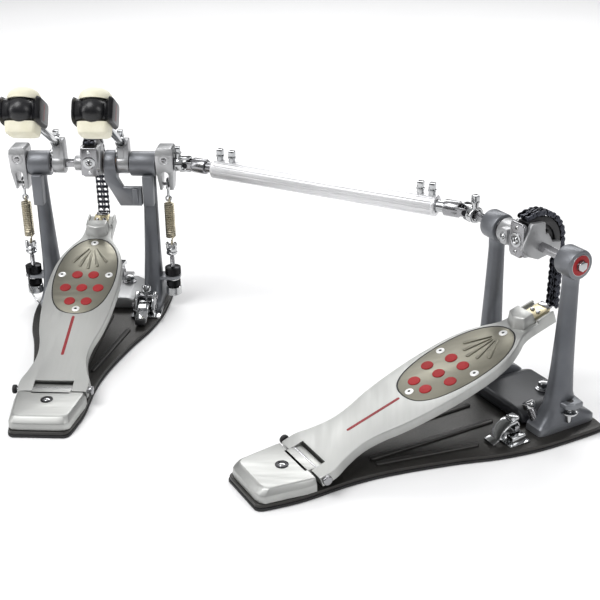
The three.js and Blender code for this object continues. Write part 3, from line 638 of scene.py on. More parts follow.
def heel(prefix, place, body):
    s = Shape(place)
    back = -62
    right = [(20, back), (26, back + 1.2), (30, back + 5), (36, -18), (36, HEEL_FRONT)]
    low = right + [(-x, y) for x, y in reversed(right)]
    levels = ((BASE_TOP + 0.2, 0.0), (HINGE_Z - 3.4, 0.6), (HINGE_Z + 1.4, 4.2), (HINGE_Z + 2.3, 6.0))
    rings = []
    for z, inset in levels:
        rings.append([(x * (1 - inset / 60), min(y + inset * 1.2, HEEL_FRONT), z) for x, y in low])
    s.loft(rings, "heel", 0.9, angle=12)
    s.block(-KNUCKLE_X + 0.4, KNUCKLE_X - 0.4, -12, 7.6, HINGE_Z - 4.5, HINGE_Z + 2.3, "heel", 0.6)
    s.piece(prefix + "heel_casting", body, [prefix + "heel_plate"], "board_aluminium")
    screw = Shape(place)
    top = HINGE_Z + 2.2
    screw.ring(3.3, 6.2, (0, -24, top - 0.4), (0, -24, top + 0.7), "black_metal", 0.3)
    head = [(0, top + 1.3), (2.2, top + 1.1), (3.3, top + 0.4), (3.3, top - 1), (0, top - 1)]
    screw.turn(head, "chrome", (0, -24, 0))
    screw.piece(prefix + "heel_screw", body, slot="chrome")
    pin = Shape(place)
    pin.bar(2.5, (-39, 0, HINGE_Z), (39, 0, HINGE_Z), "steel", 0.4)
    pin.bar(4.6, (37, 0, HINGE_Z), (41, 0, HINGE_Z), "steel", 1.2)
    pin.bar(4.6, (-41, 0, HINGE_Z), (-37, 0, HINGE_Z), "rubber", 1.2)
    pin.piece(prefix + "hinge_bolt", body, [prefix + "hinge_pin"], "chrome")


# ---------------------------------------------------------------- footboard
BOARD_STATIONS = [
    (34.8, -4.6),
    (35.6, -3.2),
    (36.0, 6),
    (35.0, 13),
    (31.0, 24),
    (27.4, 38),
    (26.4, 51),
    (28.4, 67),
    (33.0, 85),
    (36.8, 108),
    (39.3, 135),
    (40.0, 160),
    (38.6, 186),
    (34.0, 209),
    (26.0, 227),
    (19.0, 239),
    (16.4, 250),
    (16.0, 266),
    (16.0, TOE_S),
]


def plate_outline(grow):
    return ring_outline(
        [
            (0.5, 110.6 - grow),
            (10 + grow * 0.5, 112.2 - grow),
            (19 + grow, 117.5 - grow * 0.8),
            (27.3 + grow, 130 - grow * 0.4),
            (32.6 + grow, 150),
            (34.4 + grow, 172),
            (32.4 + grow, 198),
            (26.5 + grow, 217 + grow * 0.4),
            (18 + grow, 230 + grow * 0.8),
            (9 + grow * 0.6, 237 + grow),
            (0.5, 239 + grow),
        ],
        6,
    )


def board_rings():
    """Sections of the board from heel to toe: an eased top edge over a slightly flared side."""
    path = smooth_path([Vector((h, s, 0)) for h, s in BOARD_STATIONS], 5)
    rings = []
    for p in path:
        half, s = p.x, p.y
        section = [
            (half - 1.5, BOARD_TOP),
            (half - 0.6, BOARD_TOP - 0.25),
            (half - 0.1, BOARD_TOP - 0.9),
            (half, BOARD_TOP - 1.6),
            (half + 0.3, -5.2),
            (half, -6.5),
            (half - 0.8, -7.0),
        ]
        right = [Vector((x, s, z)) for x, z in section]
        left = [Vector((-v.x, v.y, v.z)) for v in reversed(right)]
        rings.append(right + left)
    return rings


def footboard(prefix, place, body):
    s = Shape(place)
    s.loft(board_rings(), "board", 0)
    tool = Shape(place)
    tool.block(-KNUCKLE_X, KNUCKLE_X, -30, 10.2, -20, 20, "board", 0)
    tool.prism(plate_outline(0.7), "z", BOARD_TOP - 1.8, BOARD_TOP + 6, "gasket_and_hole_shade", 0)
    under = ring_outline([(12, 30), (20, 50), (28, 90), (33, 140), (32, 180), (20, 222), (9, 240)], 4)
    tool.prism(under, "z", -12, -2.8, "board", 0)
    s.materials = ["board", "gasket_and_hole_shade"]
    s.cut(tool)
    s.piece(prefix + "footboard_casting", body, [prefix + "footboard"], "board_aluminium", 30)
    toe = Shape(place)
    plan = [(-13.6, 263), (-13.6, 247), (-2, 240.5), (2.5, 240.5), (12.5, 246), (12.5, 263)]
    top = [(-11.8, 261.5), (-11.8, 250.5), (-1.5, 247), (1.5, 247), (10.8, 250), (10.8, 261.5)]
    rings = [[(x, y, BOARD_TOP - 1) for x, y in plan], [(x, y, BOARD_TOP + 10.8) for x, y in top]]
    toe.loft(rings, "board", 1.3, angle=14)
    for side in (-1, 1):
        edge = side * 13.6
        low, high = sorted((edge, edge + side * 2.4))
        toe.block(low, high, 262, TOE_S, BOARD_TOP - 2, BOARD_TOP + 3.6, "board", 0.9)
    toe.piece(prefix + "toe_block", body, slot="board_aluminium")
    stripe = Shape(place)
    line = capsule((0, 48.2), (0, 105), 1.6, 4)
    stripe.prism(line, "z", BOARD_TOP - 0.5, BOARD_TOP + 0.12, "stripe", 0.05, 1)
    stripe.piece(prefix + "board_stripe", body, slot="board_aluminium")


def dart(a, b, narrow, wide):
    """A tapered outline, narrow half width at a and wide half width at b."""
    a, b = Vector(a), Vector(b)
    across = (b - a).normalized().orthogonal()
    tip = b + (b - a).normalized() * wide * 0.6
    corners = (a + across * narrow, a - across * narrow, b - across * wide, tip, b + across * wide)
    return [(p.x, p.y) for p in corners]


def traction_plate(prefix, place, body):
    top = BOARD_TOP + 0.1
    s = Shape(place)
    s.prism(plate_outline(0.55), "z", BOARD_TOP - 1.7, BOARD_TOP - 0.25, "gasket_and_hole_shade", 0.1, 1)
    s.prism(plate_outline(-0.5), "z", BOARD_TOP - 1.6, top, "plate", 0.35, 2)
    fan = (
        ((-4.6, 221), (-18.5, 197)),
        ((-2.4, 219), (-9.6, 190)),
        ((0, 218), (0.6, 186)),
        ((2.4, 219), (10.6, 190)),
        ((4.6, 221), (19.5, 198)),
    )
    for a, b in fan:
        s.prism(dart(a, b, 0.7, 1.9), "z", BOARD_TOP - 1, top + 0.8, "plate", 0.5, 2)
    s.piece(prefix + "plate_with_ridges", body, [prefix + "traction_plate"], "traction_plate")
    studs = Shape(place)
    for y, columns in STUD_ROWS:
        for x in columns:
            dome = [
                (0, top + 1.15),
                (4.6, top + 1.05),
                (5.7, top + 0.75),
                (6.1, top + 0.2),
                (6.1, top - 1),
                (0, top - 1),
            ]
            studs.turn(dome, "red", (x, y, 0), sides=36)
    studs.piece(prefix + "grip_studs", body, slot="traction_plate")
    screws = Shape(place)
    for x, y in PLATE_SCREWS:
        head = [
            (0, top + 0.3),
            (1.4, top + 0.3),
            (1.6, top + 0.8),
            (3.0, top + 0.75),
            (4.2, top + 0.3),
            (4.3, top - 1),
            (0, top - 1),
        ]
        screws.turn(head, "washer", (x, y, 0), sides=32)
        # Near-black disc in the screw head: painted shade of its socket.
        socket = [(0, top + 0.6), (1.4, top + 0.5), (1.5, top - 1), (0, top - 1)]
        screws.turn(socket, "gasket_and_hole_shade", (x, y, 0), sides=12)
    screws.piece(prefix + "plate_screws", body, slot="chrome")


def chain_clamp(prefix, place, body):
    s = Shape(place)
    z = BOARD_TOP
    s.block(-8.6, 8.6, 264, TOE_S + 1.5, z + 0.1, z + 2.6, "brass", 0.5)
    s.block(-7.2, 7.2, TOE_S - 1, TOE_S + 5, z + 0.2, z + 3.4, "steel", 0.8)
    for x in (-4.2, 4.2):
        s.bar(2.3, (x, 272, z + 2), (x, 272, z + 4.2), "steel", 0.7, 24)
    s.piece(prefix + "chain_clamp_plate", body, [prefix + "chain_clamp"], "brass")


def board(prefix, place, body):
    on_board = place @ Matrix.Translation((0, 0, HINGE_Z)) @ Matrix.Rotation(BOARD_PITCH, 4, "X")
    footboard(prefix, on_board, body)
    traction_plate(prefix, on_board, body)
    chain_clamp(prefix, on_board, body)


# ---------------------------------------------------------------- posts and frame
def rounded_box(hx, hy, roundness, sides=40):
    """A closed outline between a box (roundness near 0) and an ellipse (roundness 1)."""
    points = []
    for k in range(sides):
        a = 2 * PI * (k + 0.5) / sides
        c, t = math.cos(a), math.sin(a)
        u = hx * math.copysign(abs(c) ** roundness, c)
        v = hy * math.copysign(abs(t) ** roundness, t)
        points.append((u, v))
    return points


def post_rings(foot, top):
    """A column that flares into its foot below and meets the bearing housing above."""
    half = (FOOT_FRONT - FOOT_BACK) / 2
    middle = (FOOT_FRONT + FOOT_BACK) / 2
    levels = (
        (BASE_TOP + 0.3, 0, middle, 12.0, half, 0.22),
        (BASE_TOP + 7.0, 0, middle, 12.0, half - 0.4, 0.24),
        (BASE_TOP + 9.5, 0, middle, 11.4, half - 3.0, 0.3),
        (BASE_TOP + 15, 0, AXLE_Y + 1.5, 11.0, 22.5, 0.5),
        (BASE_TOP + 24, 0.03, AXLE_Y + 0.5, 10.9, 16.5, 0.7),
        (BASE_TOP + 38, 0.1, AXLE_Y, 10.6, 12.8, 0.85),
        (70, 0.32, AXLE_Y, 9.6, 10.8, 0.9),
        (112, 0.65, AXLE_Y, 8.5, 9.2, 0.95),
        (AXLE_Z - 22, 0.95, AXLE_Y, 7.5, 8.1, 1),
        (AXLE_Z - 9, 1.0, AXLE_Y, 8.0, 8.8, 1),
    )
    rings = []
    for z, share, y, hx, hy, roundness in levels:
        x = foot + (top - foot) * share
        rings.append([(x + u, y + v, z) for u, v in rounded_box(hx, hy, roundness)])
    return rings


def post(housing, top, foot, place):
    s = Shape(place)
    s.loft(post_rings(foot, top), "casting", 0)
    a, b = sorted(housing)
    s.ring(6.2, HOUSING_R, on_axle(a), on_axle(b), "casting", 1.8, 64)
    return s


def bearing(s, x0, x1):
    """The bearing's race and seal at both ends of a housing."""
    for x, inward in ((x0, 1), (x1, -1)):
        s.ring(COLLAR_BORE, 10.6, on_axle(x - inward * 0.35), on_axle(x + inward * 1.2), "steel", 0.4, 40)


def spring_lug(s, side, foot):
    plan = [
        (side * (foot - 6), AXLE_Y - 10),
        (side * SPRING_X, AXLE_Y - 9.5),
        (side * (SPRING_X + 9), AXLE_Y - 5),
        (side * (SPRING_X + 9), AXLE_Y + 5),
        (side * SPRING_X, AXLE_Y + 9.5),
        (side * (foot - 6), AXLE_Y + 10),
    ]
    if side < 0:
        plan.reverse()
    s.prism(plan, "z", LUG_Z[0], LUG_Z[1], "casting", 1.0, 2)
    rib = [(side * (foot + 4), 14), (side * (foot + 14), LUG_Z[0] + 1), (side * (foot + 4), LUG_Z[0] + 1)]
    s.prism(rib, "y", AXLE_Y - 3, AXLE_Y + 3, "casting", 0.5, 1)


def main_posts():
    for word, side, housing in (("left", -1, (-74.7, -48.9)), ("right", 1, (43.3, 73.1))):
        s = post(housing, side * 64, side * 61, MAIN)
        spring_lug(s, side, 61)
        # Pad on the drummer's side, which takes the centre bracket on the right.
        x0, x1 = sorted((side * 58, side * 70))
        s.block(x0, x1, AXLE_Y - 18, AXLE_Y - 5, AXLE_Z - 46, AXLE_Z - 10, "casting", 1.3, 3)
        s.piece("main_%s_post_casting" % word, "main_frame", ["main_%s_post" % word], "grey_casting")
        races = Shape(MAIN)
        bearing(races, *housing)
        races.piece("main_%s_bearing" % word, "main_frame", slot="chrome")


def slave_posts():
    for word, side, housing, x in (("left", -1, (-63.3, -43.1), -52), ("right", 1, (44.4, 64.7), 54)):
        s = post(housing, x, x, SLAVE)
        if side > 0:
            lug = [(0, -9), (17, -6), (21, 2), (20, 13), (0, 16)]
            plan = [(x + u, AXLE_Y + v) for u, v in lug]
            s.prism(plan, "z", LUG_Z[0] - 3, LUG_Z[1] - 1, "casting", 1.6, 3)
            # Near-black disc on the lug: painted shade of the hole.
            hole = [(0, 0.4), (3.0, 0.4), (3.4, 0), (3.4, -1), (0, -1)]
            s.turn(hole, "gasket_and_hole_shade", (x + 12, AXLE_Y + 3, LUG_Z[1] - 1), sides=28)
        s.piece("slave_%s_post_casting" % word, "slave_frame", ["slave_%s_post" % word], "grey_casting")
        races = Shape(SLAVE)
        bearing(races, *housing)
        if side > 0:
            races.ring(5.0, 9.8, on_axle(housing[1] - 0.4), on_axle(housing[1] + 0.5), "red", 0.3)
        races.piece("slave_%s_bearing" % word, "slave_frame", slot="chrome")


def centre_bracket():
    arm = Shape(MAIN)
    front, back = AXLE_Y - 15, AXLE_Y + 1
    low = AXLE_Z - 46
    profile = [(55.7, low), (55.7, AXLE_Z - 25), (35, AXLE_Z - 25), (28.4, AXLE_Z - 12), (27.5, AXLE_Z + 4)]
    profile += [(14.5, AXLE_Z + 4), (14.5, AXLE_Z - 15), (31, low)]
    arm.prism(profile, "y", front, back, "casting", 0)
    tool = Shape(MAIN)
    tool.bar(9.6, on_axle(5), on_axle(60), "casting", 0, 48)
    tool.bar(13.4, on_axle(27.9), on_axle(60), "casting", 0, 48)
    tool.block(28, 80, AXLE_Y - 6, AXLE_Y + 20, low - 5, AXLE_Z + 20, "casting", 0)
    arm.cut(tool).soften(1.3)
    arm.ring(9.5, 15.5, on_axle(14.5), on_axle(27.5), "casting", 1.4, 64)
    # Bolted joint between the arm and the post's pad.
    arm.block(46, 52.5, AXLE_Y - 18.6, AXLE_Y - 12, AXLE_Z - 43.5, AXLE_Z - 25, "casting", 1.2, 3)
    arm.piece("centre_bracket_casting", "main_frame", ["main_centre_bracket"], "grey_casting")
    bush = Shape(MAIN)
    bush.ring(5.7, 9.2, on_axle(14.6), on_axle(27.9), "bronze", 0.8, 48)
    bush.piece("centre_bearing_bush", "main_frame", ["main_centre_bush"], "brass")


def front_casting(prefix, place, body, half, bolt_x, paint, slot):
    s = Shape(place)
    low = BASE_TOP + 0.2
    shoulder, crown = BASE_TOP + 8, BASE_TOP + 14
    arch = [
        (-half, low),
        (half, low),
        (half, shoulder),
        (half - 12, crown),
        (12 - half, crown),
        (-half, shoulder),
    ]
    round_over = 2.2 if prefix == "main_" else 5.0
    s.prism(arch, "y", FOOT_BACK, FOOT_FRONT, paint, round_over, 5, angle=20)
    if prefix == "main_":
        y = JAW_PIVOT[1]
        s.block(-22, 22, FOOT_FRONT - 5, y + 35, low, BASE_TOP + 4, paint, 1.0)
        for side in (-1, 1):
            s.block(side * 15.5 - 1.9, side * 15.5 + 1.9, y - 6, y + 5, BASE_TOP + 3, 31, paint, 1.6, 3)
        s.bar(2.2, (-18.6, y, JAW_PIVOT[2]), (18.6, y, JAW_PIVOT[2]), "steel", 0.6, 24)
    s.piece(prefix + "front_bridge", body, [prefix + "front_casting"], slot)
    bolt = Shape(place)
    y = FOOT_FRONT - 19
    z = BASE_TOP + 14
    bolt.ring(3, 8.4, (bolt_x, y, z - 0.3), (bolt_x, y, z + 1.5), "steel", 0.5)
    bolt.ring(3, 6.8, (bolt_x, y, z + 1.4), (bolt_x, y, z + 2.6), "chrome", 0.4)
    bolt.hex(6.0, (bolt_x, y, z + 2.5), (bolt_x, y, z + 8.2), "chrome", 0.8)
    cap = [(0, z + 9.0), (3.6, z + 8.8), (4.9, z + 8.0), (4.9, z + 7), (0, z + 7)]
    bolt.turn(cap, "chrome", (bolt_x, y, 0))
    bolt.piece(prefix + "frame_bolt", body, slot="chrome")


# ---------------------------------------------------------------- clamp of the main pedal
def hoop_clamp():
    y, z = JAW_PIVOT[1:]
    s = Shape(MAIN)
    jaw = [(-5, -3), (12, -3.5), (30, -3.5), (34, -6), (36, -4), (32, 1), (4, 4), (-5, 4)]
    s.prism([(y + u, z + v) for u, v in jaw], "x", -13, 13, "chrome", 0.9, 2)
    s.block(-11.5, 11.5, y + 12, y + 29, z - 5.2, z - 3.3, "rubber", 0.6)
    s.piece("hoop_clamp_plate", "hoop_clamp", ["hoop_clamp_jaw"], "chrome")
    y, z = LEVER_PIVOT[1:]
    lever = Shape(MAIN)
    lever.ring(2.6, 7.4, (50.2, y, z), (64, y, z), "chrome", 1.0)
    handle = [
        (y + 2, z + 6.6),
        (y - 12, z + 7.4),
        (y - 24, z + 4.4),
        (y - 33, z - 1.6),
        (y - 36, z - 5.2),
        (y - 30, z - 5.0),
        (y - 14, z + 0.6),
        (y, z - 3.4),
    ]
    lever.prism(handle, "x", 51, 64, "chrome", 1.2, 3)
    lever.block(51.4, 63.6, y - 37, y - 22, z - 7.6, z - 0.6, "rubber", 1.8, 3)
    lever.piece("clamp_lever_handle", "hoop_clamp_lever", ["clamp_lever"], "chrome")
    block = Shape(MAIN)
    block.block(42, 76, y - 12, y + 26, BASE_TOP + 0.2, BASE_TOP + 2.4, "chrome", 0.5)
    ear = [
        (y - 9, BASE_TOP + 1),
        (y + 24, BASE_TOP + 1),
        (y + 21, z + 9),
        (y + 12, z + 14),
        (y - 2, z + 10),
        (y - 8, z + 2),
    ]
    block.prism(ear, "x", 44.5, 49, "chrome", 1.0, 2)
    block.prism(ear, "x", 65.4, 69, "chrome", 1.0, 2)
    block.bar(2.2, (43, y, z), (70.5, y, z), "steel", 0.6, 24)
    block.bar(3.4, (43.6, y + 13, z + 7), (70, y + 13, z + 7), "steel", 0.8, 28)
    block.hex(4.6, (41.5, y, z), (44.8, y, z), "steel", 0.5)
    block.bar(5.6, (57, y + 13, z + 12), (57, y + 16, z + 20), "chrome", 1.0, 36)
    block.bar(3.0, (57, y + 11, z + 3), (57, y + 14, z + 13), "steel", 0.4, 24)
    block.piece("clamp_bracket_plate", "main_frame", ["clamp_lever_bracket"], "chrome")


# ---------------------------------------------------------------- springs
def knurled(s, radius, x, z0, z1, material):
    outline = []
    teeth = 36
    for i in range(teeth * 2):
        r = radius if i % 2 == 0 else radius - 0.55
        a = PI * i / teeth
        outline.append((x + r * math.cos(a), AXLE_Y + r * math.sin(a)))
    s.prism(outline, "z", z0, z1, material, 0, 1)
    for z, up in ((z0, -1), (z1, 1)):
        face = z + up * 0.7
        cap = [(0, face), (radius - 2, face), (radius - 0.8, z), (radius - 0.8, z - up), (0, z - up)]
        s.turn(cap, material, (x, AXLE_Y, 0))


def tension_bolt(word, side):
    s = Shape(MAIN)
    x = side * SPRING_X
    s.bar(2.5, (x, AXLE_Y, 14), (x, AXLE_Y, SWIVEL_Z - 2), "steel", 0.5, 24)
    for k in range(15):
        z = 49.4 + 0.8 * k
        s.turn([(2.4, z - 0.35), (2.75, z), (2.4, z + 0.35)], "steel", (x, AXLE_Y, 0), sides=20, closed=True)
    knurled(s, 9.4, x, LUG_Z[1] + 1.2, LUG_Z[1] + 9.8, "black_metal")
    s.ring(3, 7.4, (x, AXLE_Y, LUG_Z[0] - 2.0), (x, AXLE_Y, LUG_Z[0] - 0.3), "chrome", 0.4)
    knurled(s, 8.4, x, 25.4, 31.6, "black_metal")
    knurled(s, 9.0, x, 14, 23.2, "chrome")
    s.piece(word + "_tension_screw", "main_frame", [word + "_tension_bolt"], "chrome")


def spring_set(word, side):
    x = side * SPRING_X
    swivel = Shape(MAIN)
    profile = [
        (0, SWIVEL_Z + 0.7),
        (5.6, SWIVEL_Z + 0.7),
        (6.6, SWIVEL_Z + 1.8),
        (6.6, SWIVEL_Z + 3.6),
        (5.4, SWIVEL_Z + 4.6),
        (6.3, SWIVEL_Z + 5.8),
        (6.3, SWIVEL_Z + 8.2),
        (4.6, SWIVEL_Z + 9.6),
        (0, SWIVEL_Z + 9.6),
    ]
    swivel.turn(profile, "chrome", (x, AXLE_Y, 0))
    for dx in (-4.6, 4.6):
        prong = [(-3.6, 8.6), (3.6, 8.6), (3.2, 14.5), (0, 16.6), (-3.2, 14.5)]
        plan = [(AXLE_Y + y, SWIVEL_Z + z) for y, z in prong]
        swivel.prism(plan, "x", x + dx - 1.4, x + dx + 1.4, "chrome", 0.6, 2)
    swivel.bar(1.5, (x - 6.8, AXLE_Y, SWIVEL_Z + 13), (x + 6.8, AXLE_Y, SWIVEL_Z + 13), "steel", 0.4, 20)
    swivel.piece(word + "_swivel_fork", word + "_swivel", [word + "_spring_swivel"], "chrome")

    coil = Shape(MAIN)
    turns = 18
    wire = 1.12
    low = COIL_LOW + 2.0
    high = COIL_HIGH - 2.0
    steps = turns * 18
    path = []
    for i in range(steps + 1):
        t = i / steps
        a = 2 * PI * turns * t
        shrink = min(1, 0.6 + 14 * min(t, 1 - t))
        r = COIL_R * shrink
        path.append(Vector((x + r * math.cos(a), AXLE_Y + r * math.sin(a), low + (high - low) * t)))
    coil.tube(path, wire, "wire", 8)
    # End loops, over the swivel's pin below and the hook above.
    for z, start, sign in ((SWIVEL_Z + 15.4, COIL_LOW + 2, -1), (COIL_HIGH + 1.5, COIL_HIGH - 2, 1)):
        r = 2.6
        coil.tube(wire_ring(x + 0.8, z, r, 16), 1.0, "wire", 8)
        coil.tube([(x + 2.2, AXLE_Y, start), (x + 0.8, AXLE_Y, z - sign * 1.6)], 1.0, "wire", 8)
    start = (0, AXLE_Y / 1000, COIL_LOW / 1000)
    end = (0, AXLE_Y / 1000, COIL_HIGH / 1000)
    blend = (word + "_swivel", word + "_hook", start, end)
    coil.piece(word + "_coil", None, [word + "_spring"], "spring_steel", blend=blend)

    hook = Shape(MAIN)
    r = 6.2
    hook.tube(wire_ring(x, HOOK_PIN_Z, r, 28), 1.3, "chrome", 12)
    hook.tube([(x, AXLE_Y, HOOK_PIN_Z - r + 0.4), (x, AXLE_Y, COIL_HIGH + 6.0)], 1.6, "chrome", 12)
    hook.tube(wire_ring(x, COIL_HIGH + 3.4, 3.0, 20, "y"), 1.1, "chrome", 10)
    hook.piece(word + "_hook_link", word + "_hook", [word + "_spring_hook"], "chrome")


def rocker(word, x0, x1, body):
    """Lever on the axle's end: a tall head with a round boss, and a fork for the spring hook."""
    middle = (x0 + x1) / 2
    front = [
        (x0 + 2.6, AXLE_Z + 21),
        (x1 - 1.6, AXLE_Z + 21),
        (x1, AXLE_Z + 18.5),
        (x1 - 0.3, AXLE_Z - 8),
        (x1 - 1.4, AXLE_Z - 29),
        (x0 + 3.2, AXLE_Z - 29),
        (x0 + 0.8, AXLE_Z - 8),
        (x0, AXLE_Z + 10),
        (x0 + 0.5, AXLE_Z + 18.5),
    ]
    side = [(-11, 21), (11, 21), (14, 14), (13, -6), (8, -29), (-8, -29), (-13, -6), (-14, 14)]
    s = Shape(MAIN)
    s.prism(front, "y", AXLE_Y - 14, AXLE_Y + 14, "light", 0)
    keep = Shape(MAIN)
    keep.prism(by_axle(side), "x", x0 - 5, x1 + 5, "light", 0)
    s.cut(keep, "INTERSECT")
    slot = Shape(MAIN)
    mouth = capsule((middle, AXLE_Z - 10.2), (middle, AXLE_Z - 60), 4.3, 10)
    slot.prism(mouth, "y", AXLE_Y - 30, AXLE_Y + 30, "light", 0)
    s.cut(slot).soften(1.2, 24, 3)
    # Plain round boss with a ring.
    face = AXLE_Y - 13.6
    at = AXLE_Z + 8.5
    s.ring(4.9, 6.6, (middle, face - 0.7, at), (middle, face + 2, at), "light", 0.4, 40)
    boss = [(0, 1.0), (2.4, 0.8), (3.2, 0.1), (3.2, -2), (0, -2)]
    s.turn(boss, "steel", (middle, face, at), (0, -1, 0), 32)
    s.bar(1.8, (x0 + 3.8, AXLE_Y, HOOK_PIN_Z), (x1 - 1.8, AXLE_Y, HOOK_PIN_Z), "steel", 0.4, 24)
    s.ring(COLLAR_BORE, 9.6, on_axle(x0 + 0.1), on_axle(x0 + 1.6), "steel", 0.4, 40)
    s.ring(COLLAR_BORE, 9.6, on_axle(x1 - 1.6), on_axle(x1 - 0.1), "steel", 0.4, 40)
    s.piece(word + "_rocker_lever", body, [word + "_rocker"], "light_casting")


# ---------------------------------------------------------------- axles, cam and chain
def axle_bar(x0, x1, place):
    s = Shape(place)
    s.hex(HEX_R, on_axle(x0), on_axle(x1), "steel", 0.4)
    return s


def cam_wheel(prefix, place, body):
    s = Shape(place)
    a0, a1 = CAM_FROM, CHAIN_WRAP + 0.05
    center = (AXLE_Y, AXLE_Z)
    rim = arc(center, WHEEL_R, a0, a1, 40) + list(reversed(arc(center, 20.5, a0, a1, 32)))
    s.prism(rim, "x", -6.5, 6.5, "wheel", 0.8, 2)
    w0, w1 = a0 + 0.04, a1 - 0.04
    web = arc(center, 21.5, w0, w1, 32) + list(reversed(arc(center, 17, w0, w1, 24)))
    s.prism(web, "x", -4.6, 4.6, "wheel", 0.5, 2)
    s.ring(5.7, 11, on_axle(-6.5), on_axle(6.5), "wheel", 0.8, 48)
    for a in CAM_SPOKES:
        u, v = math.cos(a), math.sin(a)
        side = 3.0
        points = [
            (AXLE_Y + 9 * u - side * v, AXLE_Z + 9 * v + side * u),
            (AXLE_Y + 9 * u + side * v, AXLE_Z + 9 * v - side * u),
            (AXLE_Y + 19 * u + 2 * v, AXLE_Z + 19 * v - 2 * u),
            (AXLE_Y + 19 * u - 2 * v, AXLE_Z + 19 * v + 2 * u),
        ]
        s.prism(points, "x", -5, 5, "wheel", 0.5, 2)
    s.piece(prefix + "cam_sprocket", body, [prefix + "cam_wheel"], "wheel_plastic")


def cam_hub(prefix, place, body, x0, x1):
    """Clamp collar, cheeks on both sides of the wheel, and the plate that holds the chain's end."""
    s = Shape(place)
    collar = 8.6 if prefix == "main_" else 12.5
    s.ring(COLLAR_BORE, collar, on_axle(x0), on_axle(x1), "light", 1.0, 48)
    left = [(12, -2), (10, 16), (2, 23.5), (-13, 24), (-18, 18), (-18, -9), (0, -12.4), (9, -9)]
    s.prism(by_axle(left), "x", x1 - 4, x1, "light", 1.0, 3)
    right = [(23.5, -9), (23.5, 1.3), (13, 3), (7.5, 12), (3.6, 12.6), (2.5, 24)]
    right += [(-13, 24.8), (-23.5, 1), (-14, -8), (-3, -12.4), (8, -10)]
    s.prism(by_axle(right), "x", -x1 + 0.2, -x1 + 5.6, "light", 1.0, 3)
    s.block(x1 - 3, -x1 + 3, AXLE_Y - 18, AXLE_Y - 11.8, AXLE_Z - 9, AXLE_Z + 4, "light", 0.8)
    s.piece(prefix + "hub_casting", body, [prefix + "cam_hub"], "light_casting")
    plate = Shape(place)
    face = AXLE_Y - 21.4
    plan = [(-9.6, 22), (-7.6, 24), (7.6, 24), (9.6, 22), (9.6, -6), (6.4, -9.6), (-6.4, -9.6), (-9.6, -6)]
    plate.prism([(x, AXLE_Z + z) for x, z in plan], "y", face, face + 4.4, "steel", 1.1, 3)
    screw_z = AXLE_Z + 7
    plate.ring(3.4, 7.2, (0, face - 0.8, screw_z), (0, face + 1, screw_z), "chrome", 0.5, 40)
    cap = [(0, 1.7), (2.4, 1.5), (3.4, 0.6), (3.4, -1), (0, -1)]
    plate.turn(cap, "chrome", (0, face, screw_z), (0, -1, 0), 28)
    # Near-black disc on the screw: painted shade of its socket.
    plate.turn([(0, 1.9), (1.3, 1.85), (1.4, 1.5), (0, 1.5)], "gasket_and_hole_shade", (0, face, screw_z), (0, -1, 0), 6)
    for z in (19, -5):
        rivet = [(0, 0.9), (1.6, 0.8), (2.2, 0.2), (2.2, -1), (0, -1)]
        plate.turn(rivet, "chrome", (0, face, AXLE_Z + z), (0, -1, 0), 24)
    plate.piece(prefix + "chain_end_plate", body, slot="chrome")
    if prefix == "main_":
        return
    clamp = Shape(place)
    middle = (x0 + x1 - 4) / 2
    low, high = middle - 4.6, middle + 4.6
    clamp.block(low, high, AXLE_Y - 15.5, AXLE_Y - 4, AXLE_Z - 7, AXLE_Z + 9, "light", 1.2, 3)
    z = AXLE_Z + 1
    clamp.ring(2.2, 4.4, (middle, AXLE_Y - 16.6, z), (middle, AXLE_Y - 15, z), "chrome", 0.5, 32)
    cap = [(0, 2.0), (1.8, 1.8), (2.6, 1.0), (2.6, -1), (0, -1)]
    clamp.turn(cap, "chrome", (middle, AXLE_Y - 15.5, z), (0, -1, 0), 24)
    clamp.piece(prefix + "collar_clamp", body, slot="light_casting")


def chain_points():
    """Pin centres from the chain's end on the cam, over it and down to the board."""
    points = []
    wrapped = (CHAIN_WRAP - 0.03) * CHAIN_R
    hanging = AXLE_Z - CHAIN_END_Z - 2
    count = int((wrapped + hanging) / CHAIN_PITCH)
    for i in range(count + 1):
        d = wrapped - i * CHAIN_PITCH
        if d > 0:
            a = d / CHAIN_R
            points.append((AXLE_Y + CHAIN_R * math.cos(a), AXLE_Z + CHAIN_R * math.sin(a)))
        else:
            points.append((AXLE_Y + CHAIN_R, AXLE_Z + d))
    return points


def link_outline(a, b, radius, waist, steps):
    """A figure-of-eight link plate round pins a and b."""
    ay, az = a
    by, bz = b
    heading = math.atan2(bz - az, by - ay)
    points = []
    for (cy, cz), start in (((by, bz), heading - PI * 0.62), ((ay, az), heading + PI * 0.38)):
        for k in range(steps + 1):
            t = start + PI * 1.24 * k / steps
            points.append((cy + radius * math.cos(t), cz + radius * math.sin(t)))
        my, mz = (ay + by) / 2, (az + bz) / 2
        normal = heading + PI / 2 if (cy, cz) == (by, bz) else heading - PI / 2
        points.append((my + waist * math.cos(normal), mz + waist * math.sin(normal)))
    return points


def chain(prefix, place, axle_body, chain_body):
    s = Shape(place)
    pins = chain_points()
    for y, z in pins:
        s.bar(1.2, (-7.2, y, z), (7.2, y, z), "chain", 0.35, 10)
        for x in (-STRAND_X, STRAND_X):
            s.bar(1.75, (x - 1.35, y, z), (x + 1.35, y, z), "chain", 0.2, 12)
    for i, (a, b) in enumerate(zip(pins, pins[1:])):
        offsets = (-1.9, 1.9) if i % 2 else (-2.75, 2.75)
        for strand in (-STRAND_X, STRAND_X):
            for dx in offsets:
                low = strand + dx - LINK_THICKNESS / 2
                high = strand + dx + LINK_THICKNESS / 2
                s.prism(link_outline(a, b, 2.75, 1.85, 5), "x", low, high, "chain", 0.0, 1)
    start = tuple(place @ Vector(on_axle(0)))
    end = tuple(place @ Vector((0, AXLE_Y + 27, AXLE_Z - 27)))
    blend = (axle_body, chain_body, start, end)
    replaced = [prefix + "chain_wrap", prefix + "chain_run"]
    s.piece(prefix + "duplex_chain", None, replaced, "chain_steel", blend=blend)


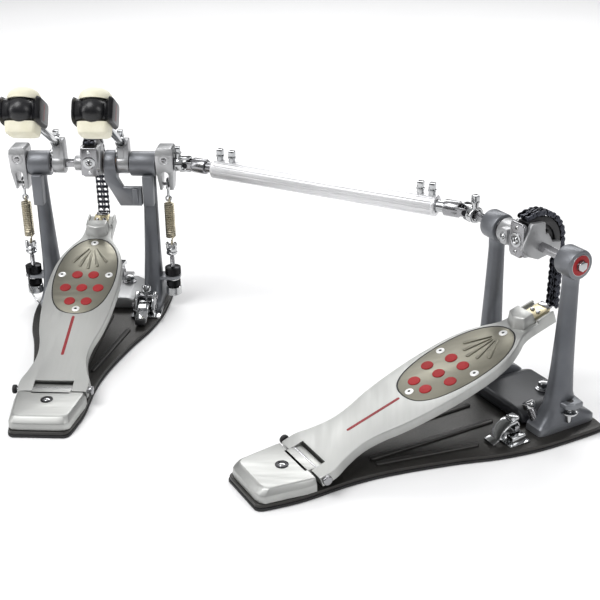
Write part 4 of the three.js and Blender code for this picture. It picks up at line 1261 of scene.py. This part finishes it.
# ---------------------------------------------------------------- beaters
def beater(word, body):
    upright = MAIN @ Matrix.Translation(on_axle(BEATER_X[word]))
    leaning = upright @ Matrix.Translation((0, 0, SHAFT_SEAT)) @ Matrix.Rotation(BEATER_LEAN, 4, "X")
    hub = Shape(upright)
    hub.ring(COLLAR_BORE, 11.5, (-7, 0, 0), (7, 0, 0), "light", 1.2, 48)
    tower = [(-8.5, 2), (9, 2), (8, 22), (5.5, 29.5), (-5.5, 29.5), (-8.2, 22)]
    hub.prism(tower, "x", 1.2, 7.4, "light", 1.2, 3)
    seat = [(-8.5, 3), (8, 3), (7.4, 24), (4, 28), (-7, 27), (-9, 18)]
    hub.prism(seat, "x", -5.8, 2.5, "light", 1.4, 3)
    hub.piece(word + "_hub_casting", body, [word + "_beater_hub"], "light_casting")
    clamp = Shape(leaning)
    clamp.ring(4.2, 6.8, (0, 0, 6), (0, 0, 10.5), "chrome", 0.7, 6)
    clamp.ring(4.1, 6.2, (0, 0, 10.2), (0, 0, 12.5), "chrome", 0.6, 36)
    clamp.piece(word + "_shaft_nut", body, slot="chrome")
    key = Shape(upright)
    key_bolt(key, (-2.0, 1, 27), (0, 0, 1), 12)
    key.ring(3.4, 7.0, (-7.5, 0, 12), (-5.4, 0, 12), "chrome", 0.5, 36)
    key.hex(4.4, (-10, 0, 12), (-7, 0, 12), "chrome", 0.6)
    key.piece(word + "_hub_bolts", body, slot="chrome")
    shaft = Shape(leaning)
    shaft.bar(SHAFT_R, (0, 0, -8), (0, 0, BEATER_LEN - 15), "chrome", 0.4, 32)
    shaft.piece(word + "_shaft_rod", body, [word + "_beater_shaft"], "chrome")
    head(word, leaning, body)


def head(word, place, body):
    """A beater head: a black spool with a ball in its middle, a felt dome in front, a felt block behind."""
    c = BEATER_LEN
    core = Shape(place)
    stations = (
        (-21.2, 11.0, 13.6, 0.6),
        (-20.8, 13.0, 16.8, 0.6),
        (-19.8, 14.0, 18.4, 0.55),
        (-18.4, 13.6, 17.4, 0.6),
        (-17.4, 13.2, 15.2, 0.65),
        (-15, 13.0, 14.2, 0.7),
        (0, 13.2, 14.0, 0.7),
        (13, 13.2, 14.4, 0.7),
        (15.4, 13.4, 16.0, 0.5),
        (16.8, 13.4, 18.6, 0.35),
        (18.0, 14.0, 19.6, 0.3),
        (20.6, 12.8, 17.0, 0.3),
        (21.4, 11.8, 15.6, 0.3),
    )
    rings = []
    for x, hy, hz, roundness in stations:
        rings.append([(x, u, c + v) for u, v in rounded_box(hy, hz, roundness, 48)])
    core.loft(rings, "core", 0)
    ball = [(17.6 * math.sin(PI * k / 24), -21.5 * math.cos(PI * k / 24)) for k in range(25)]
    flat = Matrix.Diagonal((1, 0.96, 1, 1))
    core.turn(ball, "core", sides=56, matrix=Matrix.Translation((0, 0, c)) @ flat)
    core.ring(4.2, 7.2, (0, 0, c - 23), (0, 0, c - 16), "core", 1.0, 36)
    core.piece(word + "_core_shell", body, [word + "_beater_core"], "beater_core")
    mark = Shape(place)
    mark.block(20.9, 21.5, -8.5, 8.5, c - 0.9, c + 0.9, "stripe", 0.1)
    mark.piece(word + "_head_seam", body, slot="beater_core")
    felt = Shape(place)
    dome = [(0, 25.9), (5, 25.5), (10, 24.1), (14.0, 21.6), (16.4, 18.2), (17.4, 14.6), (17.4, 12), (0, 12)]
    felt.turn(dome, "felt", (0, 0, c), (0, 1, 0), 56)
    levels = ((-12, 16.6, 13.6), (-20.5, 16.2, 13.4), (-23.3, 15.2, 12.4), (-24.5, 13.0, 10.4))
    block = []
    for y, hx, hz in levels:
        block.append([(u, y, c + v) for u, v in rounded_box(hx, hz, 0.32, 48)])
    felt.loft(block, "felt", 0)
    felt.piece(word + "_felt_faces", body, [word + "_beater_felt"], "beater_felt")


# ---------------------------------------------------------------- universal joints and drive shaft
def yoke(s, length, ears, material="chrome"):
    """Collar on the -X side of the joint centre, with two ears along the ears axis."""
    s.ring(5.4, 8.5, (-10 - length, 0, 0), (-7.4, 0, 0), material, 0.9, 48)
    for side in (-1, 1):
        low, high = sorted((side * 5.4, side * 8.2))
        outline = [(-10, -4.6)] + arc((0, 0), 4.2, -PI / 2, PI / 2, 12) + [(-10, 4.6)]
        turn = Matrix.Rotation(PI / 2, 4, "X") if ears == "y" else None
        s.prism(outline, "z", low, high, material, 0.5, 2, matrix=turn)


def cross(name, joint_matrix, body, node, angle):
    s = Shape(joint_matrix)
    s.block(-3.4, 3.4, -3.4, 3.4, -3.4, 3.4, "steel", 0.7)
    turn = Matrix.Rotation(angle, 4, "Z")
    for direction in (Vector((0, 0, 1)), turn.to_3x3() @ Vector((0, 1, 0))):
        s.bar(2.0, -8 * direction, 8 * direction, "steel", 0.4, 20)
        for sign in (-1, 1):
            s.bar(3.1, sign * 7.2 * direction, sign * 8.9 * direction, "black_metal", 0.4, 24)
    s.piece(name, body, [node], "chrome")


def key_bolt(s, at, along, height):
    """A square-headed drum key bolt with a collar."""
    at, along = Vector(at), Vector(along).normalized()
    s.bar(3.7, at, at + along * (height * 0.45), "chrome", 0.4, 24)
    s.ring(1.5, 4.5, at + along * (height * 0.4), at + along * (height * 0.5), "chrome", 0.3, 28)
    spin = Matrix.Translation(at + along * (height * 0.5)) @ turned_to(along)
    s.block(-3.2, 3.2, -3.2, 3.2, 0, height * 0.5, "chrome", 0.8, 2, matrix=spin)


def fluted_outline():
    outline = []
    flutes = 12
    for i in range(flutes * 6):
        a = 2 * PI * i / (flutes * 6)
        dip = 0.5 if i % 6 == 0 else 0.0
        outline.append(((TUBE_R - dip) * math.cos(a), (TUBE_R - dip) * math.sin(a)))
    return outline


def drive_line():
    main_joint = Vector(JOINTS["drive_tube_turn"]["pos_m"])
    slave_joint_at = Vector(JOINTS["slave_cross_rock"]["pos_m"])
    along = slave_joint_at - main_joint
    yaw = math.atan2(along.y, along.x)
    length = along.length * 1000
    at_main = Matrix.Translation(main_joint) @ MM
    at_slave = Matrix.Translation(slave_joint_at) @ MM
    on_shaft = Matrix.Translation(main_joint) @ Matrix.Rotation(yaw, 4, "Z") @ MM
    slave_yaw = math.atan2(-slave_joint["axis"][1], -slave_joint["axis"][0])

    near = Shape(at_main)
    yoke(near, 6, "z")
    key_bolt(near, (-12.2, 0, 7), (0, 0, 1), 13.5)
    near.piece("main_yoke_collar", "right_axle", ["main_joint_yoke"], "chrome")
    cross("main_cross_pins", at_main, "main_cross", "main_joint_cross", yaw)

    far = Shape(at_slave @ Matrix.Rotation(slave_yaw + PI, 4, "Z"))
    yoke(far, 6, "z")
    key_bolt(far, (-12.2, 0, 7), (0, 0, 1), 13.5)
    far.piece("slave_yoke_collar", "slave_axle_set", ["slave_joint_yoke"], "chrome")
    cross("slave_cross_pins", at_slave, "slave_cross", "slave_joint_cross", yaw)

    turn_back = Matrix.Rotation(PI, 4, "Z")
    tube_yoke = Shape(on_shaft @ turn_back)
    yoke(tube_yoke, 15, "y", "steel")
    tube_yoke.bar(ROD_R, (-TUBE_FROM - 10, 0, 0), (-9, 0, 0), "steel", 0.4)
    tube_yoke.piece("tube_yoke_fork", "tube", ["drive_tube_yoke"], "chrome")

    tube = Shape(on_shaft)
    end = TUBE_FROM + TUBE_LEN
    tube.prism(fluted_outline(), "x", TUBE_FROM + 3, end - 3, "tube", 0.3, 1)
    tube.ring(6.6, TUBE_R, (TUBE_FROM, 0, 0), (TUBE_FROM + 4, 0, 0), "tube", 0.8)
    tube.ring(6.6, TUBE_R, (end - 4, 0, 0), (end, 0, 0), "tube", 0.8)
    tube.piece("fluted_drive_tube", "tube", ["drive_tube"], "tube_aluminium")
    bolts = Shape(on_shaft)
    for x in (8.5, 24, TUBE_LEN - 19, TUBE_LEN - 6):
        key_bolt(bolts, (TUBE_FROM + x, 0, TUBE_R - 1.5), (0, 0, 1), 14.4)
    bolts.piece("tube_key_bolts", "tube", slot="chrome")

    rod = Shape(on_shaft)
    rod.bar(ROD_R, (end - 140, 0, 0), (length - 12, 0, 0), "chrome", 0.5)
    rod.piece("sliding_drive_rod", "rod", ["drive_rod"], "chrome")
    rod_yoke = Shape(on_shaft @ Matrix.Translation((length, 0, 0)))
    yoke(rod_yoke, 14, "y", "steel")
    rod_yoke.piece("rod_yoke_fork", "rod", ["drive_rod_yoke"], "chrome")


# ---------------------------------------------------------------- small parts of the slave pedal
def slave_fittings():
    s = Shape(SLAVE)
    # Folded steel clip beside the board, with a slotted block on its upper end.
    middle = [(0, 0), (6, 2), (9, 9), (19, 16), (27, 17.5), (30, 13), (31, 3)]
    outer = [(y, z + 1.1) for y, z in middle]
    inner = [(y, z - 1.1) for y, z in reversed(middle)]
    strip = [(170 + y, BASE_TOP + 1.6 + z) for y, z in outer + inner]
    s.prism(strip, "x", 42, 56, "chrome", 0.5, 2)
    s.block(44, 54, 192, 201, BASE_TOP + 18, BASE_TOP + 23, "chrome", 1.0, 3)
    s.block(54, 64, 186, 202, BASE_TOP + 0.3, BASE_TOP + 9, "chrome", 1.2, 3)
    s.block(40, 66, 182, 206, BASE_TOP + 0.2, BASE_TOP + 1.6, "chrome", 0.4)
    s.bar(3.0, (41, 196, BASE_TOP + 13), (58, 196, BASE_TOP + 13), "steel", 0.5, 24)
    s.piece("slave_clip", "slave_frame", slot="chrome")
    spur = Shape(SLAVE)
    a = Vector((40, 222, 32))
    b = Vector((50, 226, 12))
    spur.bar(6.2, a, a + (b - a) * 0.3, "chrome", 1.2, 36)
    spur.bar(3.6, a + (b - a) * 0.28, b, "steel", 0.4, 24)
    for k in range(7):
        at = a + (b - a) * (0.42 + 0.07 * k)
        spur.ring(2.6, 4.3, at, at + (b - a) * 0.035, "steel", 0.1, 24)
    spur.piece("slave_spur_screw", "slave_frame", slot="chrome")
    disc = Shape(SLAVE)
    disc.ring(2.4, 8.6, (66, AXLE_Y + 3, 24.5), (66, AXLE_Y + 3, 27), "chrome", 0.7)
    disc.bar(3.4, (66, AXLE_Y + 3, 15), (66, AXLE_Y + 3, 32), "chrome", 0.6, 28)
    disc.piece("slave_lug_washer", "slave_frame", slot="chrome")


def wire_clip():
    """Bent wire stop under the left spring's bolt."""
    s = Shape(MAIN)
    x = -SPRING_X
    bend = [(-4, -6, 44), (-4.4, -9, 34), (-3, -13, 22), (6, -22, 12), (17, -30, 8.5)]
    points = [Vector((x + u, AXLE_Y + v, z)) for u, v, z in bend]
    s.tube(smooth_path(points, 6), 0.9, "chrome", 8)
    s.piece("spring_wire_stop", "main_frame", slot="chrome")


# ---------------------------------------------------------------- assembly
def main_pedal():
    base("main_", MAIN, "main_frame")
    heel("main_", MAIN, "main_frame")
    board("main_", MAIN, "main_board")
    main_posts()
    centre_bracket()
    front_casting("main_", MAIN, "main_frame", 46, 27, "light", "light_casting")
    hoop_clamp()
    wire_clip()
    for word, side in (("left", -1), ("right", 1)):
        tension_bolt(word, side)
        spring_set(word, side)
        beater(word, word + "_axle")
    rocker("left", -94.5, -75.5, "left_axle")
    rocker("right", 73.7, 93.7, "right_axle")
    axle = axle_bar(-93, 27.2, MAIN)
    axle.piece("main_axle_bar", "left_axle", ["main_axle"], "chrome")
    second = axle_bar(28.4, 99, MAIN)
    second.piece("second_axle_bar", "right_axle", ["second_axle"], "chrome")
    cam_wheel("main_", MAIN, "left_axle")
    cam_hub("main_", MAIN, "left_axle", -21, -6.8)
    chain("main_", MAIN, "left_axle", "main_chain")


def slave_pedal():
    base("slave_", SLAVE, "slave_frame")
    heel("slave_", SLAVE, "slave_frame")
    board("slave_", SLAVE, "slave_board")
    slave_posts()
    # The slave's front bridge takes the darker copy of the grey casting, with the shade under the board
    # painted in.
    front_casting("slave_", SLAVE, "slave_frame", 40, 12, "dark", "grey_casting")
    axle = axle_bar(-90.4, 66, SLAVE)
    axle.hex(5.4, on_axle(66), on_axle(68.5), "chrome", 0.8)
    axle.piece("slave_axle_bar", "slave_axle_set", ["slave_axle"], "chrome")
    cam_wheel("slave_", SLAVE, "slave_axle_set")
    cam_hub("slave_", SLAVE, "slave_axle_set", -40, -6.8)
    chain("slave_", SLAVE, "slave_axle_set", "slave_chain")
    slave_fittings()


def camera():
    data = bpy.data.cameras.new("camera")
    made = bpy.data.objects.new("camera", data)
    bpy.context.scene.collection.objects.link(made)
    data.sensor_width = 36
    data.lens = CAMERA_LENS
    data.clip_end = 20
    first, second, third = (Matrix.Rotation(angle, 4, axis) for angle, axis in CAMERA_TURNS)
    made.matrix_world = Matrix.Translation(CAMERA_AT) @ (first @ second @ third)
    bpy.context.scene.camera = made


def studio():
    floor_mesh = bpy.data.meshes.new("floor")
    floor_mesh.from_pydata([(-4, -4, 0), (4, -4, 0), (4, 4, 0), (-4, 4, 0)], [], [(0, 1, 2, 3)])
    floor = bpy.data.objects.new("floor", floor_mesh)
    bpy.context.scene.collection.objects.link(floor)
    n = Nodes("floor_paper")
    color = n.ramp(n.noise(3, 2), 0.3, 0.7, (0.92, 0.92, 0.92), (0.94, 0.94, 0.94))
    floor_mesh.materials.append(n.finish(Base_Color=color, Roughness=0.9))
    floor.location.z = -0.0004
    world = bpy.data.worlds.new("studio")
    bpy.context.scene.world = world
    world.use_nodes = True
    tree = world.node_tree
    coords = tree.nodes.new("ShaderNodeTexCoord")
    split = tree.nodes.new("ShaderNodeSeparateXYZ")
    ramp = tree.nodes.new("ShaderNodeValToRGB")
    tree.links.new(coords.outputs["Generated"], split.inputs[0])
    tree.links.new(split.outputs["Z"], ramp.inputs["Fac"])
    stops = ramp.color_ramp.elements
    stops[0].position = 0.0
    stops[0].color = (0.02, 0.02, 0.022, 1)
    stops[1].position = 0.85
    stops[1].color = (0.62, 0.62, 0.63, 1)
    for position, level in ((0.10, 0.03), (0.22, 0.30), (0.42, 0.50)):
        stop = stops.new(position)
        stop.color = (level, level, level * 1.02, 1)
    background = tree.nodes["Background"]
    tree.links.new(ramp.outputs["Color"], background.inputs["Color"])
    background.inputs["Strength"].default_value = 0.8
    lights = (
        ("key", (-0.7, -0.5, 2.0), (1.3, 1.3), 30),
        ("fill", (1.9, -1.1, 1.3), (0.7, 1.2), 10),
        ("back", (0.4, 2.1, 1.8), (2.6, 0.8), 34),
        ("left", (-1.8, -0.2, 0.9), (0.5, 1.3), 9),
    )
    for name, at, size, power in lights:
        data = bpy.data.lights.new(name, "AREA")
        data.shape = "RECTANGLE"
        data.size, data.size_y = size
        data.energy = power
        light = bpy.data.objects.new(name, data)
        bpy.context.scene.collection.objects.link(light)
        aim = Vector((0.25, 0.05, 0.1)) - Vector(at)
        light.matrix_world = Matrix.Translation(at) @ aim.to_track_quat("-Z", "Y").to_matrix().to_4x4()


camera()
studio()
main_pedal()
slave_pedal()
drive_line()

scene = bpy.context.scene
scene.view_settings.view_transform = "Standard"


def corners(box):
    return [[float(v) for v in corner] for corner in box]
